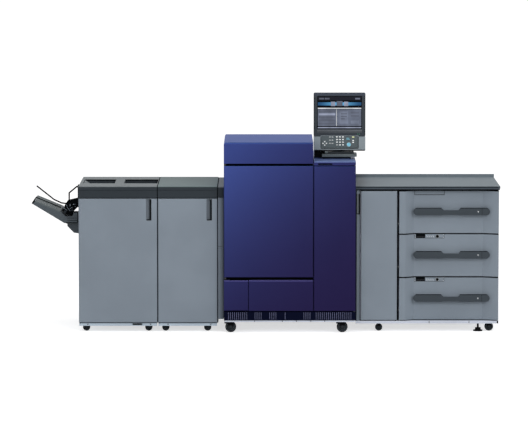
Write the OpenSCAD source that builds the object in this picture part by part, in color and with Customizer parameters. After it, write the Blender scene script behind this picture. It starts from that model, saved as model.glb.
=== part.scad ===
/* [Print engine] */
// Width of the print engine
engine_w = 900; // [860:10:960]
// Depth of the print engine, front doors to back panel
engine_d = 950; // [900:10:1000]
// Height of the engine's top cover above the floor
lid_z = 1309; // [1290:1:1340]
// Width of the wide front door and of the top cover over it
main_door_w = 609; // [590:1:620]
// Depth of the level part of the top cover, before it falls to the back
lid_flat_d = 740; // [500:10:760]
// Height of the tower that carries the operator panel
tower_z = 1179; // [1174:1:1188]

/* [Modules beside the engine] */
// Width of the finisher
finisher_w = 537; // [500:1:560]
// Width of the relay unit
relay_w = 406; // [380:1:430]
// Width of the filler strip between relay unit and engine
filler_w = 38; // [30:1:44]
// Width of the paper feeder
feeder_w = 990; // [980:1:1000]
// Depth of finisher, relay unit and feeder
module_d = 735; // [720:5:760]
// How far the modules' fronts stand behind the engine's front
front_step = 80; // [60:5:100]
// Height of the modules' tops above the floor
module_z = 1003; // [1002:1:1010]
// How far the stack tray reaches out from the finisher
tray_reach = 330; // [320:1:340]

/* [Doors and drawers] */
// Thickness of the front doors
door_t = 24; // [22:1:28]
// Gap beside every door and drawer
gap = 6; // [5.5:0.5:7]
// Depth of the trough in the drawer fronts
trough_d = 42; // [38:1:50]
// Height of the drawer fronts
drawer_h = 292; // [288:1:292]
// Length of a drawer's pull bar
pull_l = 523; // [480:1:530]

/* [Operator panel] */
// Width of the operator panel
panel_w = 355; // [344:1:360]
// Height of the panel's lowest edge above the floor
panel_z = 1234; // [1234:1:1240]
// Height of the key unit under the screen
key_unit_h = 98; // [94:1:100]
// Height of the screen housing
monitor_h = 300; // [290:1:310]

/* [Hidden] */
$fn = 64;
eps = 0.01;

// The line is centred on X = 0, so the engine's left side follows from the widths.
left_reach = filler_w + 2 + gap + relay_w + gap + finisher_w + tray_reach;
right_reach = engine_w + feeder_w;
ex = (left_reach - right_reach) / 2;
relay_x1 = ex - filler_w - 2 - gap;
relay_x = relay_x1 - relay_w;
finisher_x1 = relay_x - gap;
finisher_x = finisher_x1 - finisher_w;
tower_x = ex + main_door_w + gap;
tower_x1 = ex + engine_w;
feeder_x = tower_x1;
feeder_x1 = feeder_x + feeder_w;

// Depths: the engine is centred on Y = 0 and faces -Y.
front = -engine_d / 2;
back = engine_d / 2;
mfront = front + front_step;
mback = mfront + module_d;
inner_gap = 21;
body_front = front + door_t + inner_gap;
mbody_front = mfront + door_t + inner_gap;

// Heights of the engine's seams
rail_z = 78;
plinth_z = 89;
plinth_z1 = 148;
low_z = plinth_z1 + gap;
low_z1 = 366;
main_z = 386;
lid_z0 = 1165;
main_z1 = lid_z0 - 16;
tower_z0 = 1153;
tower_door_z1 = tower_z0 - gap;
waste_w = 165;

// Heights of the modules' seams
base_z = 42;
base_z1 = 59;
fascia_z = 924;
fascia_z1 = 997;
fascia_t = 16;
mdoor_z = base_z1 + gap;
mdoor_z1 = fascia_z - gap;
fbase_z = 58;
fbase_z1 = 76;
worktop_z = 976;

// Hinge pins stand near the front corner of each door.
pin_in = 9;
pin_r = 4;
bore_r = 4.06;
bore_d = 15;
pin_l = 12;
flange_r = 7;

// Rounded front edges: of doors, and of the two panels at the foot of the engine
edge_r = 4;
low_r = 14;

// Feeder bays
strip_w = 35;
fdoor_x = feeder_x + strip_w + 2;
fdoor_x1 = feeder_x + 285;
core_x1 = feeder_x + 292;
bay_x = feeder_x + 299;
bay_x1 = feeder_x + 981;
side_t = 15;
drawer_z = [for (i = [1 : 3]) worktop_z - i * (gap + drawer_h)];
front_t = trough_d + 12;
tray_y = mfront + front_t;
tray_d = 560;
tray_h = 215;
sheet_t = 3;

// A box between two opposite corners
module block(a, b) {
    translate(a) cube(b - a);
}

// What is drawn as [y, z] runs along X from x0 to x1
module along_x(x0, x1) {
    translate([x0, 0, 0]) rotate([90, 0, 90]) linear_extrude(x1 - x0) children();
}

// Side view of a front cover, [y, z], with a bottom and a top front edge of their own radius
module cover_profile(z0, z1, yf, t, r0, r1) {
    translate([yf, z0 + r0]) square([t, z1 - z0 - r0 - r1]);
    translate([yf + r0, z0]) square([t - r0, r0]);
    translate([yf + r0, z0 + r0]) circle(r = r0);
    translate([yf + r1, z1 - r1]) square([t - r1, r1]);
    translate([yf + r1, z1 - r1]) circle(r = r1);
}

// Blind cooling slots, one above the other, in a back panel
slot_pitch = 22;
slot_h = 9;
slot_depth = 8;
module louvres(x0, x1, z0, count, yb) {
    for (i = [0 : count - 1])
        block([x0, yb - slot_depth, z0 + i * slot_pitch],
            [x1, yb + eps, z0 + i * slot_pitch + slot_h]);
}

// A rod between two points, with a small bead where the next one starts
module rod(a, b, r) {
    d = b - a;
    l = norm(d);
    translate(a) rotate([0, acos(d.z / l), atan2(d.y, d.x)]) cylinder(r = r, h = l);
    translate(b) sphere(r = 1.2 * r);
}

// The plan of a door: the corner over the pins is round about their axis
module door_plan(x0, x1, yf, side) {
    px = side < 0 ? x0 + pin_in : x1 - pin_in;
    free_x = side < 0 ? x1 - edge_r : x0 + edge_r;
    translate([min(px, free_x), yf]) square([abs(free_x - px), door_t]);
    translate([x0, yf + pin_in]) square([x1 - x0, door_t - pin_in]);
    translate([side < 0 ? free_x : x0, yf + edge_r]) square([edge_r, pin_in - edge_r]);
    translate([px, yf + pin_in]) circle(r = pin_in);
    translate([free_x, yf + edge_r]) circle(r = edge_r);
}

// A door leaf with rounded front edges, and a bore for the pins in its top and bottom edge
module door_leaf(x0, x1, z0, z1, yf, side) {
    px = side < 0 ? x0 + pin_in : x1 - pin_in;
    difference() {
        intersection() {
            translate([0, 0, z0]) linear_extrude(z1 - z0) door_plan(x0, x1, yf, side);
            along_x(x0, x1) cover_profile(z0, z1, yf, door_t, edge_r, edge_r);
        }
        translate([px, yf + pin_in, z0 - eps]) cylinder(r = bore_r, h = bore_d + eps);
        translate([px, yf + pin_in, z1 - bore_d]) cylinder(r = bore_r, h = bore_d + eps);
    }
}

// A finger pocket in a door's face: a ramp from the left, undercut on the right
grip_w = 38;
grip_d = 17;
grip_z = 768;
module grip_pocket(x, z0, z1, yf) {
    translate([x, yf, z0]) linear_extrude(z1 - z0)
        polygon([[0, -eps], [grip_w, -eps], [grip_w, 6], [grip_w + 8, 6],
            [grip_w + 8, grip_d], [22, grip_d], [0, 0]]);
}

// The section of half a wheel, [radius, axial]: round tread corners and a dished hub
module wheel_section(r, w) {
    tread = w / 5;
    difference() {
        union() {
            translate([0, -w / 2]) square([r - tread, w]);
            translate([0, tread - w / 2]) square([r, w - 2 * tread]);
            for (s = [-1, 1]) translate([r - tread, s * (w / 2 - tread)]) circle(r = tread);
        }
        for (s = [-1, 1]) translate([0.36 * r, s * w / 2 - (s > 0 ? w / 6 : 0)])
            square([0.36 * r, w / 6]);
    }
}

// A caster: wheel, axle and the fork's two cheeks and crown in one piece, with the axle along Y
module caster(x, y, z1, r, w) {
    cheek = 3;
    side = w / 2 + 2;
    translate([x, y, r]) rotate([90, 0, 0]) {
        rotate_extrude() wheel_section(r, w);
        cylinder(r = r / 4, h = 2 * (side + cheek), center = true);
    }
    for (s = [-1, 1]) translate([x, y + s * (side + cheek / 2), r]) rotate([90, 0, 0]) {
        cylinder(r = 0.4 * r, h = cheek, center = true);
        translate([0, 0, -cheek / 2]) linear_extrude(cheek)
            polygon([[-0.4 * r, 0], [-0.6 * r, z1 - r], [0.6 * r, z1 - r], [0.4 * r, 0]]);
    }
    block([x - 0.6 * r, y - side - cheek, 2 * r + 1], [x + 0.6 * r, y + side + cheek, z1]);
}

// ---- Finisher ----

// Two upright channels in the left side, for the tongues of the stack tray's carriage
slot_y = [-100, 60];
slot_w = 32;
slot_z = 190;
slot_z1 = 732;
tongue_w = 20;

module finisher_body() {
    color("#838b92") difference() {
        block([finisher_x, mbody_front, base_z1], [finisher_x1, mback, fascia_z]);
        for (y = slot_y) block([finisher_x - eps, y - slot_w / 2, slot_z],
            [finisher_x + 34, y + slot_w / 2, slot_z1]);
        louvres(finisher_x + 150, finisher_x1 - 150, 640, 6, mback);
    }
}

// Side view of a module's top: a thin rounded rim over the fascia, and the top itself
module top_profile() {
    rim_r = (module_z - fascia_z1) / 2;
    translate([mfront + fascia_t, fascia_z]) square([module_d - fascia_t, module_z - fascia_z]);
    translate([mfront + rim_r, fascia_z1]) square([fascia_t, 2 * rim_r]);
    translate([mfront + rim_r, fascia_z1 + rim_r]) circle(r = rim_r);
}

pocket_d = 42;
pocket_y = mfront + 227;
pocket_y1 = mfront + 520;
module finisher_top() {
    color("#80878c") difference() {
        along_x(finisher_x, finisher_x1) top_profile();
        // Two pockets in the top, the left one with a ramp at its outer end
        translate([0, pocket_y1, 0]) rotate([90, 0, 0]) linear_extrude(pocket_y1 - pocket_y)
            polygon([[finisher_x + 23, module_z + 1], [finisher_x + 23, module_z - 3],
                [finisher_x + 80, module_z - pocket_d], [finisher_x + 240, module_z - pocket_d],
                [finisher_x + 240, module_z + 1]]);
        block([finisher_x + 302, pocket_y, module_z - pocket_d],
            [finisher_x1 - gap, pocket_y1, module_z + 1]);
    }
}

// Side view of the dark band under a module's top: two strips with a fine groove between them
module fascia_profile() {
    groove_z = fascia_z1 - 22;
    groove = 3;
    translate([mfront, fascia_z]) polygon([[0, 0], [0, groove_z - groove - fascia_z],
        [groove, groove_z - fascia_z], [0, groove_z + groove - fascia_z],
        [0, fascia_z1 - groove - fascia_z], [groove, fascia_z1 - fascia_z],
        [fascia_t, fascia_z1 - fascia_z], [fascia_t, 0]]);
}

module finisher_fascia() {
    color("#3c4046") along_x(finisher_x, finisher_x1) fascia_profile();
}

module finisher_door() {
    color("#828b94") difference() {
        door_leaf(finisher_x, finisher_x1, mdoor_z, mdoor_z1, mfront, -1);
        grip_pocket(finisher_x + 461, grip_z, mdoor_z1 - 3, mfront);
    }
}

// A profile of the delivery side, [distance from the finisher's left side, height]
module tray_extrude(y0, y1) {
    translate([finisher_x, y1, 0]) rotate([90, 0, 0]) linear_extrude(y1 - y0) children();
}

// Delivery mouth: a wedge of a housing with four drive rollers on a shaft in its lower lip
exit_y = [-215, 140];
roller_x = -100;
roller_z = 812;
module exit_housing() {
    tray_extrude(exit_y[0], exit_y[1])
        polygon([[0, 882], [-20, 878], [-84, 863], [-98, 859], [-105, 850], [-105, 832],
            [-118, 828], [-123, 820], [-90, 792], [-54, 790], [-44, 812], [-14, 842], [0, 842]]);
}

module exit_unit() {
    roller_r = 13;
    roller_w = 22;
    color("#15171a") {
        difference() {
            exit_housing();
            tray_extrude(exit_y[0] + 20, exit_y[1] - 20)
                polygon([[-140, 840], [-112, 838], [-84, 800], [-90, 770], [-140, 770]]);
        }
        translate([finisher_x + roller_x, exit_y[0] + 1, roller_z]) rotate([-90, 0, 0])
            cylinder(r = 4, h = exit_y[1] - exit_y[0] - 2);
        for (i = [0 : 3]) translate([finisher_x + roller_x, exit_y[0] + 55 + 78 * i, roller_z])
            rotate([-90, 0, 0]) cylinder(r = roller_r, h = roller_w);
    }
}

// The stack tray: its deck rises to the tip, with a groove along the middle and a hollow underside
tray_y0 = -240;
tray_y1 = 165;
deck_x = [-tray_reach + 21, -132];
deck_z = [889, 816];
groove_y = -25;
tray_z = 734;
function deck_at(x) = deck_z[0] + (deck_z[1] - deck_z[0]) * (x - deck_x[0]) / (deck_x[1] - deck_x[0]);

module stack_tray() {
    wall = 5;
    skin = 10;
    pocket_x = [deck_x[0] + 19, deck_x[1] - 6];
    root_w = 90;
    color("#5c6166") difference() {
        tray_extrude(tray_y0, tray_y1)
            polygon([[-tray_reach, 871], [deck_x[0], deck_z[0]], [deck_x[1], deck_z[1]], [-97, 780],
                [-50, 780], [-41, 804], [-15, 804], [-15, tray_z], [-104, tray_z]]);
        tray_extrude(groove_y - 7, groove_y + 7)
            polygon([[deck_x[0] - 3, deck_at(deck_x[0]) - 6], [deck_x[0] - 3, deck_z[0] + 40],
                [deck_x[1] - 8, deck_z[0] + 40], [deck_x[1] - 8, deck_at(deck_x[1] - 8) - 6]]);
        // The raised root stands at the front only
        block([finisher_x - 52, tray_y0 + root_w, 780], [finisher_x - 15 + eps, tray_y1 + eps, 806]);
        for (span = [[tray_y0 + wall, groove_y - 12], [groove_y + 12, tray_y1 - wall]])
            tray_extrude(span[0], span[1])
                polygon([[pocket_x[0], deck_at(pocket_x[0]) - skin],
                    [pocket_x[1], deck_at(pocket_x[1]) - skin], [pocket_x[1], tray_z - 5],
                    [pocket_x[0], 824]]);
    }
}

module tray_carriage() {
    color("#4a4f55") {
        tray_extrude(tray_y0 + 30, tray_y1 - 30)
            polygon([[-92, tray_z], [-92, tray_z - 7], [-86, tray_z - 7], [-86, 711], [-41, 665],
                [-7, 660], [-7, tray_z]]);
        for (y = slot_y)
            block([finisher_x - 7 - eps, y - tongue_w / 2, 668],
                [finisher_x + 20, y + tongue_w / 2, 720]);
    }
}

// Two bent wires over the tray: they end on the exit unit's housing
wire_y = -60;
module guide_wires() {
    wire_r = 3.2;
    long_wire = [[-302, 974], [-185, 881], [-133, 857], [-94, 852]];
    bail = [[-80, 858], [-80, 927], [-27, 972], [-14, 967], [-13, 872]];
    color("#1c1e21") difference() {
        union() {
            for (i = [0 : len(long_wire) - 2])
                rod([finisher_x + long_wire[i].x, wire_y, long_wire[i].y],
                    [finisher_x + long_wire[i + 1].x, wire_y, long_wire[i + 1].y], wire_r);
            for (i = [0 : len(bail) - 2])
                rod([finisher_x + bail[i].x, wire_y, bail[i].y],
                    [finisher_x + bail[i + 1].x, wire_y, bail[i + 1].y], wire_r);
        }
        exit_housing();
    }
}

// ---- Relay unit and filler strip ----

module relay_body() {
    color("#7f8891") difference() {
        block([relay_x, mbody_front, base_z1], [relay_x1, mback, fascia_z]);
        louvres(relay_x + 100, relay_x1 - 100, 640, 6, mback);
    }
}

module relay_top() {
    color("#738283") along_x(relay_x, relay_x1) top_profile();
}

module relay_fascia() {
    color("#3c4046") along_x(relay_x, relay_x1) fascia_profile();
}

module relay_door() {
    color("#7f8991") difference() {
        door_leaf(relay_x, relay_x1, mdoor_z, mdoor_z1, mfront, -1);
        grip_pocket(relay_x + 332, grip_z, mdoor_z1 - 3, mfront);
    }
}

module filler_panel() {
    color("#6d7479") difference() {
        block([ex - 2 - filler_w, mfront + 10, 88], [ex - 2, mback - 10, fascia_z]);
        block([ex - 2 - filler_w - eps, mfront + 10 - eps, 575], [ex - 2 + eps, mfront + 13, 578]);
    }
}

module filler_top() {
    color("#4a5055") block([ex - 2 - filler_w, mfront + 4, fascia_z],
        [ex - 2, mback - 10, module_z - 3]);
}

module module_bases() {
    color("#a9afb3") for (span = [[finisher_x, finisher_x1], [relay_x, relay_x1]]) {
        block([span[0] + 2, mfront + 4, base_z1 - 6], [span[1] - 2, mback - 2, base_z1]);
        block([span[0] + 2, mfront + 4, base_z], [span[1] - 2, mfront + 20, base_z1 - 6]);
    }
}

caster_y = [mfront + 77, mback - 77];
module module_casters() {
    color("#202225") for (y = caster_y, x = [finisher_x + 49, finisher_x1 - 60,
            relay_x + 51, relay_x1 - 67])
        caster(x, y, base_z1 - 6, 25, 22);
}

// ---- Print engine ----

module engine_body() {
    seam_x = tower_x - gap;
    color("#2f3568") difference() {
        union() {
            block([ex, body_front, plinth_z1], [seam_x, back, lid_z0]);
            block([seam_x, body_front, plinth_z1], [tower_x1, back, tower_z0]);
        }
        // Back: a seam between two panels, two fields of cooling slots and the power inlet
        block([seam_x - 2, back - 3, plinth_z1 - eps], [seam_x + 2, back + eps, lid_z0 + eps]);
        louvres(ex + 70, ex + 330, 700, 8, back);
        louvres(seam_x + 50, tower_x1 - 60, 780, 6, back);
        block([seam_x + 80, back - 26, 200], [seam_x + 150, back + eps, 250]);
    }
}

module engine_lid() {
    edge_r = 14;
    color("#404f90") intersection() {
        translate([ex, 0, 0]) rotate([90, 0, 90]) linear_extrude(main_door_w) difference() {
            polygon([[front, lid_z0], [back, lid_z0], [back, lid_z - 90],
                [front + lid_flat_d, lid_z], [front, lid_z]]);
            translate([front, lid_z - edge_r]) difference() {
                square(edge_r);
                translate([edge_r, 0]) circle(r = edge_r);
            }
        }
        translate([0, back + 1, 0]) rotate([90, 0, 0]) linear_extrude(engine_d + 2) {
            translate([ex + edge_r, lid_z - edge_r]) circle(r = edge_r);
            translate([ex + edge_r, lid_z0]) square([main_door_w - edge_r, lid_z - lid_z0]);
            translate([ex, lid_z0]) square([edge_r, lid_z - lid_z0 - edge_r]);
        }
    }
}

module main_door() {
    color("#33387a") door_leaf(ex, ex + main_door_w, main_z, main_z1, front, -1);
}

module tower_top() {
    bevel = 5;
    color("#3a4276") difference() {
        along_x(tower_x, tower_x1) polygon([[front, tower_z0], [front, tower_z - bevel],
            [front + bevel, tower_z], [back, tower_z], [back, tower_z0]]);
        block([tower_x + 27, front - eps, tower_z0 + 3], [tower_x + 125, front + 30, tower_z0 + 14]);
    }
}

module tower_door() {
    color("#2a2759") door_leaf(tower_x, tower_x1, low_z, tower_door_z1, front, 1);
}

// The small door at the lower left is a pan that tips forward on two lugs inside it.
waste_in = 11;
waste_y = front + waste_in;
waste_z = low_z + waste_in;
module waste_door() {
    skin = 3;
    wall = 5;
    lip = 9;
    rail = 17;
    x0 = ex + wall;
    x1 = ex + waste_w - wall;
    color("#2b2a5e") difference() {
        along_x(ex, ex + waste_w) cover_profile(low_z, low_z1, front, door_t, waste_in, low_r);
        block([x0, front + skin, low_z - eps], [x1, front + door_t + eps, low_z1 - rail]);
        translate([ex - eps, waste_y, waste_z]) rotate([0, 90, 0])
            cylinder(r = bore_r, h = waste_w + 2 * eps);
        // Finger pocket in the top edge
        block([ex + 43, front + lip, low_z1 - rail - eps], [x1, front + door_t + eps, low_z1 + eps]);
    }
}

module lower_panel() {
    color("#28265a") along_x(ex + waste_w + gap, ex + main_door_w)
        cover_profile(low_z, low_z1, front, body_front - front, edge_r, low_r);
}

vent_pitch = 14;
vent_w = 7;
vents = [[27, 10], [209, 4], [310, 4], [415, 1], [543, 4], [627, 18]];
module engine_plinth() {
    color("#201d48") difference() {
        block([ex, front + 4, plinth_z], [tower_x1, back, plinth_z1]);
        for (group = vents, i = [0 : group[1] - 1])
            block([ex + group[0] + i * vent_pitch, front, plinth_z + 4],
                [ex + group[0] + i * vent_pitch + vent_w, front + 18, plinth_z1 - 2]);
    }
}

module base_rail() {
    color("#b3b7bd") block([ex + 4, front + 6, rail_z], [tower_x1 - 4, back - 6, plinth_z]);
}

module engine_casters() {
    wheel_r = 37.5;
    color("#1d1e20") for (y = [front + 75, back - 75], x = [ex + 46, tower_x1 - 90]) {
        caster(x, y, rail_z, wheel_r, 30);
        // Brake lever beside the fork's crown
        block([x - wheel_r - 7, y - 12, rail_z - 6], [x - 16, y + 12, rail_z]);
    }
}

// Pins that the doors turn on: [x, y, height of the face they stand on, direction]
module hinge_pins() {
    left = [[finisher_x, mfront, fascia_z, base_z1], [relay_x, mfront, fascia_z, base_z1]];
    color("#8d9094") {
        for (p = left) {
            door_pin(p[0] + pin_in, p[1] + pin_in, p[2], mdoor_z1, -1);
            door_pin(p[0] + pin_in, p[1] + pin_in, p[3], mdoor_z, 1);
        }
        door_pin(ex + pin_in, front + pin_in, lid_z0, main_z1, -1);
        door_pin(ex + pin_in, front + pin_in, main_z - 7, main_z, 1);
        // Bracket under the wide door
        translate([0, 0, main_z - 14]) linear_extrude(7) {
            translate([ex + pin_in, front + pin_in]) circle(r = pin_in - 1);
            translate([ex + 1, front + pin_in]) square([2 * (pin_in - 1), body_front - front - pin_in]);
        }
        door_pin(tower_x1 - pin_in, front + pin_in, tower_z0, tower_door_z1, -1);
        door_pin(tower_x1 - pin_in, front + pin_in, plinth_z1, low_z, 1);
        door_pin(fdoor_x1 - pin_in, mfront + pin_in, worktop_z, fdoor_z1, -1);
        door_pin(fdoor_x1 - pin_in, mfront + pin_in, fbase_z1, fdoor_z, 1);
        // Lugs and pins of the small lower door
        for (s = [0, 1]) {
            lug_x = s == 0 ? ex + 7 : ex + waste_w - 15;
            pin_x = s == 0 ? ex + 1 : ex + waste_w - 9;
            translate([lug_x, waste_y, waste_z]) rotate([0, 90, 0]) cylinder(r = 6, h = 8);
            block([lug_x, waste_y, waste_z - 6], [lug_x + 8, body_front, waste_z + 6]);
            translate([pin_x, waste_y, waste_z]) rotate([0, 90, 0]) cylinder(r = pin_r, h = 8);
        }
    }
}

// One pin: a flange on the face at height z, a shank to the door's edge and a pin in its bore
module door_pin(x, y, z, edge_z, dir) {
    translate([x, y, min(z, edge_z - dir * 2)])
        cylinder(r = flange_r, h = abs(edge_z - z) - 2);
    translate([x, y, dir > 0 ? edge_z - 3 : edge_z - pin_l])
        cylinder(r = pin_r, h = pin_l + 3);
}

// A turning knob on an inner cover: a disc with a bar across it
module knob(x, y, z, r) {
    translate([x, y, z]) rotate([90, 0, 0]) {
        cylinder(r = r, h = 3);
        translate([-r, -r / 4, 0]) cube([2 * r, r / 2, knob_h]);
    }
}

// Covers over the works behind each door, with the unit fronts and knobs that stand on them
knob_h = 7;
module inner_covers() {
    t = 5;
    unit_t = 3;
    y = body_front - t;
    my = mbody_front - t;
    drum_w = 122;
    color("#4b5056") {
        block([finisher_x + 20, my, 110], [finisher_x1 - 20, mbody_front, 880]);
        for (z = [230, 480, 730]) knob(finisher_x + 150, my, z, 26);
        block([finisher_x + 260, my - unit_t, 180], [finisher_x1 - 60, my, 420]);
        block([finisher_x + 260, my - unit_t, 470], [finisher_x1 - 60, my, 820]);
        block([relay_x + 20, my, 110], [relay_x1 - 20, mbody_front, 880]);
        for (z = [260, 620]) knob(relay_x + 110, my, z, 26);
        block([relay_x + 180, my - unit_t, 200], [relay_x1 - 60, my, 780]);
        // Print engine: four drum units side by side over the wide transfer unit
        block([ex + 24, y, main_z + 14], [ex + main_door_w - 24, body_front, main_z1 - 20]);
        for (i = [0 : 3]) {
            x = ex + 48 + i * (drum_w + 8);
            block([x, y - unit_t, 780], [x + drum_w, y, 1080]);
            knob(x + drum_w / 2, y - unit_t + eps, 850, 24);
        }
        block([ex + 48, y - unit_t, 450], [ex + main_door_w - 48, y, 740]);
        knob(ex + 140, y - unit_t + eps, 600, 34);
        // Tower: a stack of four toner holders
        block([tower_x + 16, y, low_z + 24], [tower_x1 - 24, body_front, tower_door_z1 - 20]);
        for (i = [0 : 3]) translate([tower_x + 138, y, 520 + i * 150]) rotate([90, 0, 0])
            cylinder(r = 62, h = knob_h);
        block([fdoor_x + 14, my, 120], [fdoor_x1 - 20, mbody_front, 930]);
        for (i = [0 : 2]) knob(fdoor_x + 80, my, 240 + i * 280, 26);
    }
}

// ---- Operator panel ----

panel_x = ex + main_door_w + gap;
panel_x1 = panel_x + panel_w;
panel_cx = (panel_x + panel_x1) / 2;
panel_y = front + 236;
panel_t = 46;
pivot_y = panel_y + 96;
pivot_z = panel_z + 110;
plate_z = 1196;
plate_z1 = 1213;

module panel_base() {
    plate_x = ex + 673;
    plate_x1 = ex + 911;
    end_r = 40;
    color("#3d4243") {
        translate([0, 0, plate_z]) linear_extrude(plate_z1 - plate_z) {
            translate([plate_x, front + 185]) square([plate_x1 - plate_x - end_r, 200]);
            translate([plate_x, front + 185 + end_r]) square([plate_x1 - plate_x, 200 - 2 * end_r]);
            for (y = [front + 185 + end_r, front + 385 - end_r])
                translate([plate_x1 - end_r, y]) circle(r = end_r);
        }
        block([plate_x + 10, front + 215, tower_z], [plate_x1 - 40, front + 360, plate_z]);
        block([tower_x + 5, front + 240, tower_z], [plate_x + 18, front + 380, panel_z - 8]);
    }
}

module panel_arm() {
    neck_x = ex + 692;
    neck_x1 = ex + 890;
    ear = 38;
    color("#33383a") {
        block([neck_x, front + 215, plate_z1], [neck_x1, front + 350, panel_z - gap + 1]);
        block([panel_cx - ear, pivot_y - 14, plate_z1], [panel_cx + ear, pivot_y + 14, pivot_z]);
        translate([panel_cx - ear, pivot_y, pivot_z]) rotate([0, 90, 0]) cylinder(r = 14, h = 2 * ear);
        translate([panel_cx - ear - 14, pivot_y, pivot_z]) rotate([0, 90, 0])
            cylinder(r = 5, h = 2 * ear + 28);
    }
}

// A slab from y0 to y1 whose front view has rounded corners
module rounded_slab(x0, x1, z0, z1, y0, y1, r) {
    translate([0, y1, 0]) rotate([90, 0, 0]) linear_extrude(y1 - y0) {
        translate([x0 + r, z0]) square([x1 - x0 - 2 * r, z1 - z0]);
        translate([x0, z0 + r]) square([x1 - x0, z1 - z0 - 2 * r]);
        for (x = [x0 + r, x1 - r], z = [z0 + r, z1 - r]) translate([x, z]) circle(r = r);
    }
}

module monitor() {
    z0 = panel_z + key_unit_h;
    z1 = z0 + monitor_h;
    ear = 38;
    color("#41464b") difference() {
        union() {
            rounded_slab(panel_x, panel_x1, z0, z1, panel_y, panel_y + panel_t, 8);
            rounded_slab(panel_x + 30, panel_x1 - 30, z0 + 20, z1 - 30, panel_y + panel_t - 1,
                panel_y + panel_t + 16, 14);
            // Ears on the back, which turn on the arm's pin
            for (x = [panel_cx - ear - 10, panel_cx + ear + 1]) {
                block([x, panel_y + panel_t, pivot_z - 13], [x + 9, pivot_y, pivot_z + 13]);
                translate([x, pivot_y, pivot_z]) rotate([0, 90, 0]) cylinder(r = 13, h = 9);
            }
        }
        block([panel_x + 24, panel_y - eps, z0 + 53], [panel_x1 - 24, panel_y + 4, z1 - 21]);
        block([key_x - 4, panel_y - eps, z0 - eps], [key_x1 + 4, panel_y + 8, z0 + 7]);
        for (x = [panel_cx - 130, panel_cx + 60], i = [0 : 5])
            block([x, panel_y + panel_t + 12, z1 - 60 - i * 12],
                [x + 70, panel_y + panel_t + 17, z1 - 54 - i * 12]);
        translate([panel_cx - ear - 20, pivot_y, pivot_z]) rotate([0, 90, 0])
            cylinder(r = 5.06, h = 2 * ear + 40);
    }
}

module screen() {
    z0 = panel_z + key_unit_h;
    color("#3a4a78") block([panel_x + 24.5, panel_y + 1, z0 + 53.5],
        [panel_x1 - 24.5, panel_y + 4, z0 + monitor_h - 21.5]);
}

key_x = ex + 667;
key_x1 = ex + 919;
key_y = panel_y - 2;
module key_unit() {
    z1 = panel_z + key_unit_h;
    color("#6e7373") difference() {
        union() {
            rounded_slab(panel_x, panel_x1, panel_z, z1, panel_y - 6, panel_y + panel_t, 5);
            block([key_x - 4, panel_y - 6, z1 - 10], [key_x1 + 4, panel_y + 8, z1 + 7]);
        }
        block([key_x, panel_y - 6 - eps, panel_z + 21], [key_x1, key_y, z1 + 4]);
    }
}

module key_box(x, z, w, h) {
    translate([x - w / 2, key_y - 3, z - h / 2]) cube([w, 3, h]);
}
module key_round(x, z, r) {
    translate([x, key_y, z]) rotate([90, 0, 0]) cylinder(r = r, h = 3);
}
module keys() {
    color("#d9dcdc") {
        for (i = [0 : 2], j = [0 : 3]) key_box(ex + 775 + i * 20.5, panel_z + 37 + j * 18.5, 12, 8);
        for (i = [0 : 1], j = [0 : 2]) key_box(ex + 727 + i * 17, panel_z + 45 + j * 23, 12, 8);
        for (a = [0 : 90 : 270])
            key_round(ex + 691 + 12 * cos(a), panel_z + 44 + 12 * sin(a), 4);
        key_round(ex + 856, panel_z + 38, 13);
        key_box(ex + 886, panel_z + 92, 14, 9);
        for (j = [0 : 1]) key_box(ex + 886, panel_z + 52 + j * 13, 12, 8);
    }
}

// ---- Paper feeder ----

fdoor_z = fbase_z1 + gap;
fdoor_z1 = worktop_z - gap;

module feeder_left_wall() {
    color("#6b7378") difference() {
        translate([0, 0, fbase_z1]) linear_extrude(worktop_z - fbase_z1)
            polygon([[feeder_x + 2, mfront + 4], [feeder_x + 12, mfront + 4],
                [feeder_x + strip_w - 4, mfront + 16], [feeder_x + strip_w - 4, mback],
                [feeder_x + 2, mback]]);
        block([feeder_x + 8, mfront, 810], [feeder_x + strip_w, mfront + 40, 950]);
    }
}

module feeder_core() {
    color("#3c4146") block([feeder_x + strip_w - 4, mbody_front, fbase_z1],
        [core_x1, mback - 12, worktop_z]);
}

module feeder_right_wall() {
    color("#828b94") block([bay_x1 - side_t, tray_y + 6, fbase_z1], [bay_x1, mback, worktop_z]);
}

module feeder_back() {
    color("#767e85") difference() {
        block([core_x1, mback - 12, fbase_z1], [bay_x1 - side_t, mback, worktop_z]);
        louvres(core_x1 + 200, bay_x1 - 200, 300, 8, mback);
    }
}

module feeder_base() {
    color("#a9afb3") {
        block([feeder_x + 2, mfront + 4, fbase_z1 - 8], [bay_x1, mback, fbase_z1]);
        block([feeder_x + 2, mfront + 4, fbase_z], [bay_x1, mfront + 24, fbase_z1 - 8]);
    }
}

// Plan of the worktop, drawn in by an inset, with its front right corner rounded
module worktop_plan(inset) {
    r = 12;
    x0 = feeder_x + 2;
    x1 = feeder_x1 - inset;
    translate([x0, mfront + inset]) square([x1 - r - x0, module_d - inset]);
    translate([x0, mfront + inset + r]) square([x1 - x0, module_d - inset - r]);
    translate([x1 - r, mfront + inset + r]) circle(r = r);
}

skin_z = module_z - 3;
module feeder_top() {
    color("#828b92") {
        translate([0, 0, skin_z]) linear_extrude(module_z - skin_z) worktop_plan(2);
        block([feeder_x + 2, mback - 18, module_z - 1], [feeder_x1, mback, module_z + 20]);
    }
}

// The dark edge under the worktop's skin, in two layers
module feeder_top_band() {
    step_z = worktop_z + 11;
    color("#3c4248") {
        translate([0, 0, step_z]) linear_extrude(skin_z - step_z) worktop_plan(0);
        translate([0, 0, worktop_z]) linear_extrude(step_z - worktop_z) worktop_plan(3);
    }
}

module feeder_door() {
    color("#828b95") door_leaf(fdoor_x, fdoor_x1, fdoor_z, fdoor_z1, mfront, 1);
}

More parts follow.
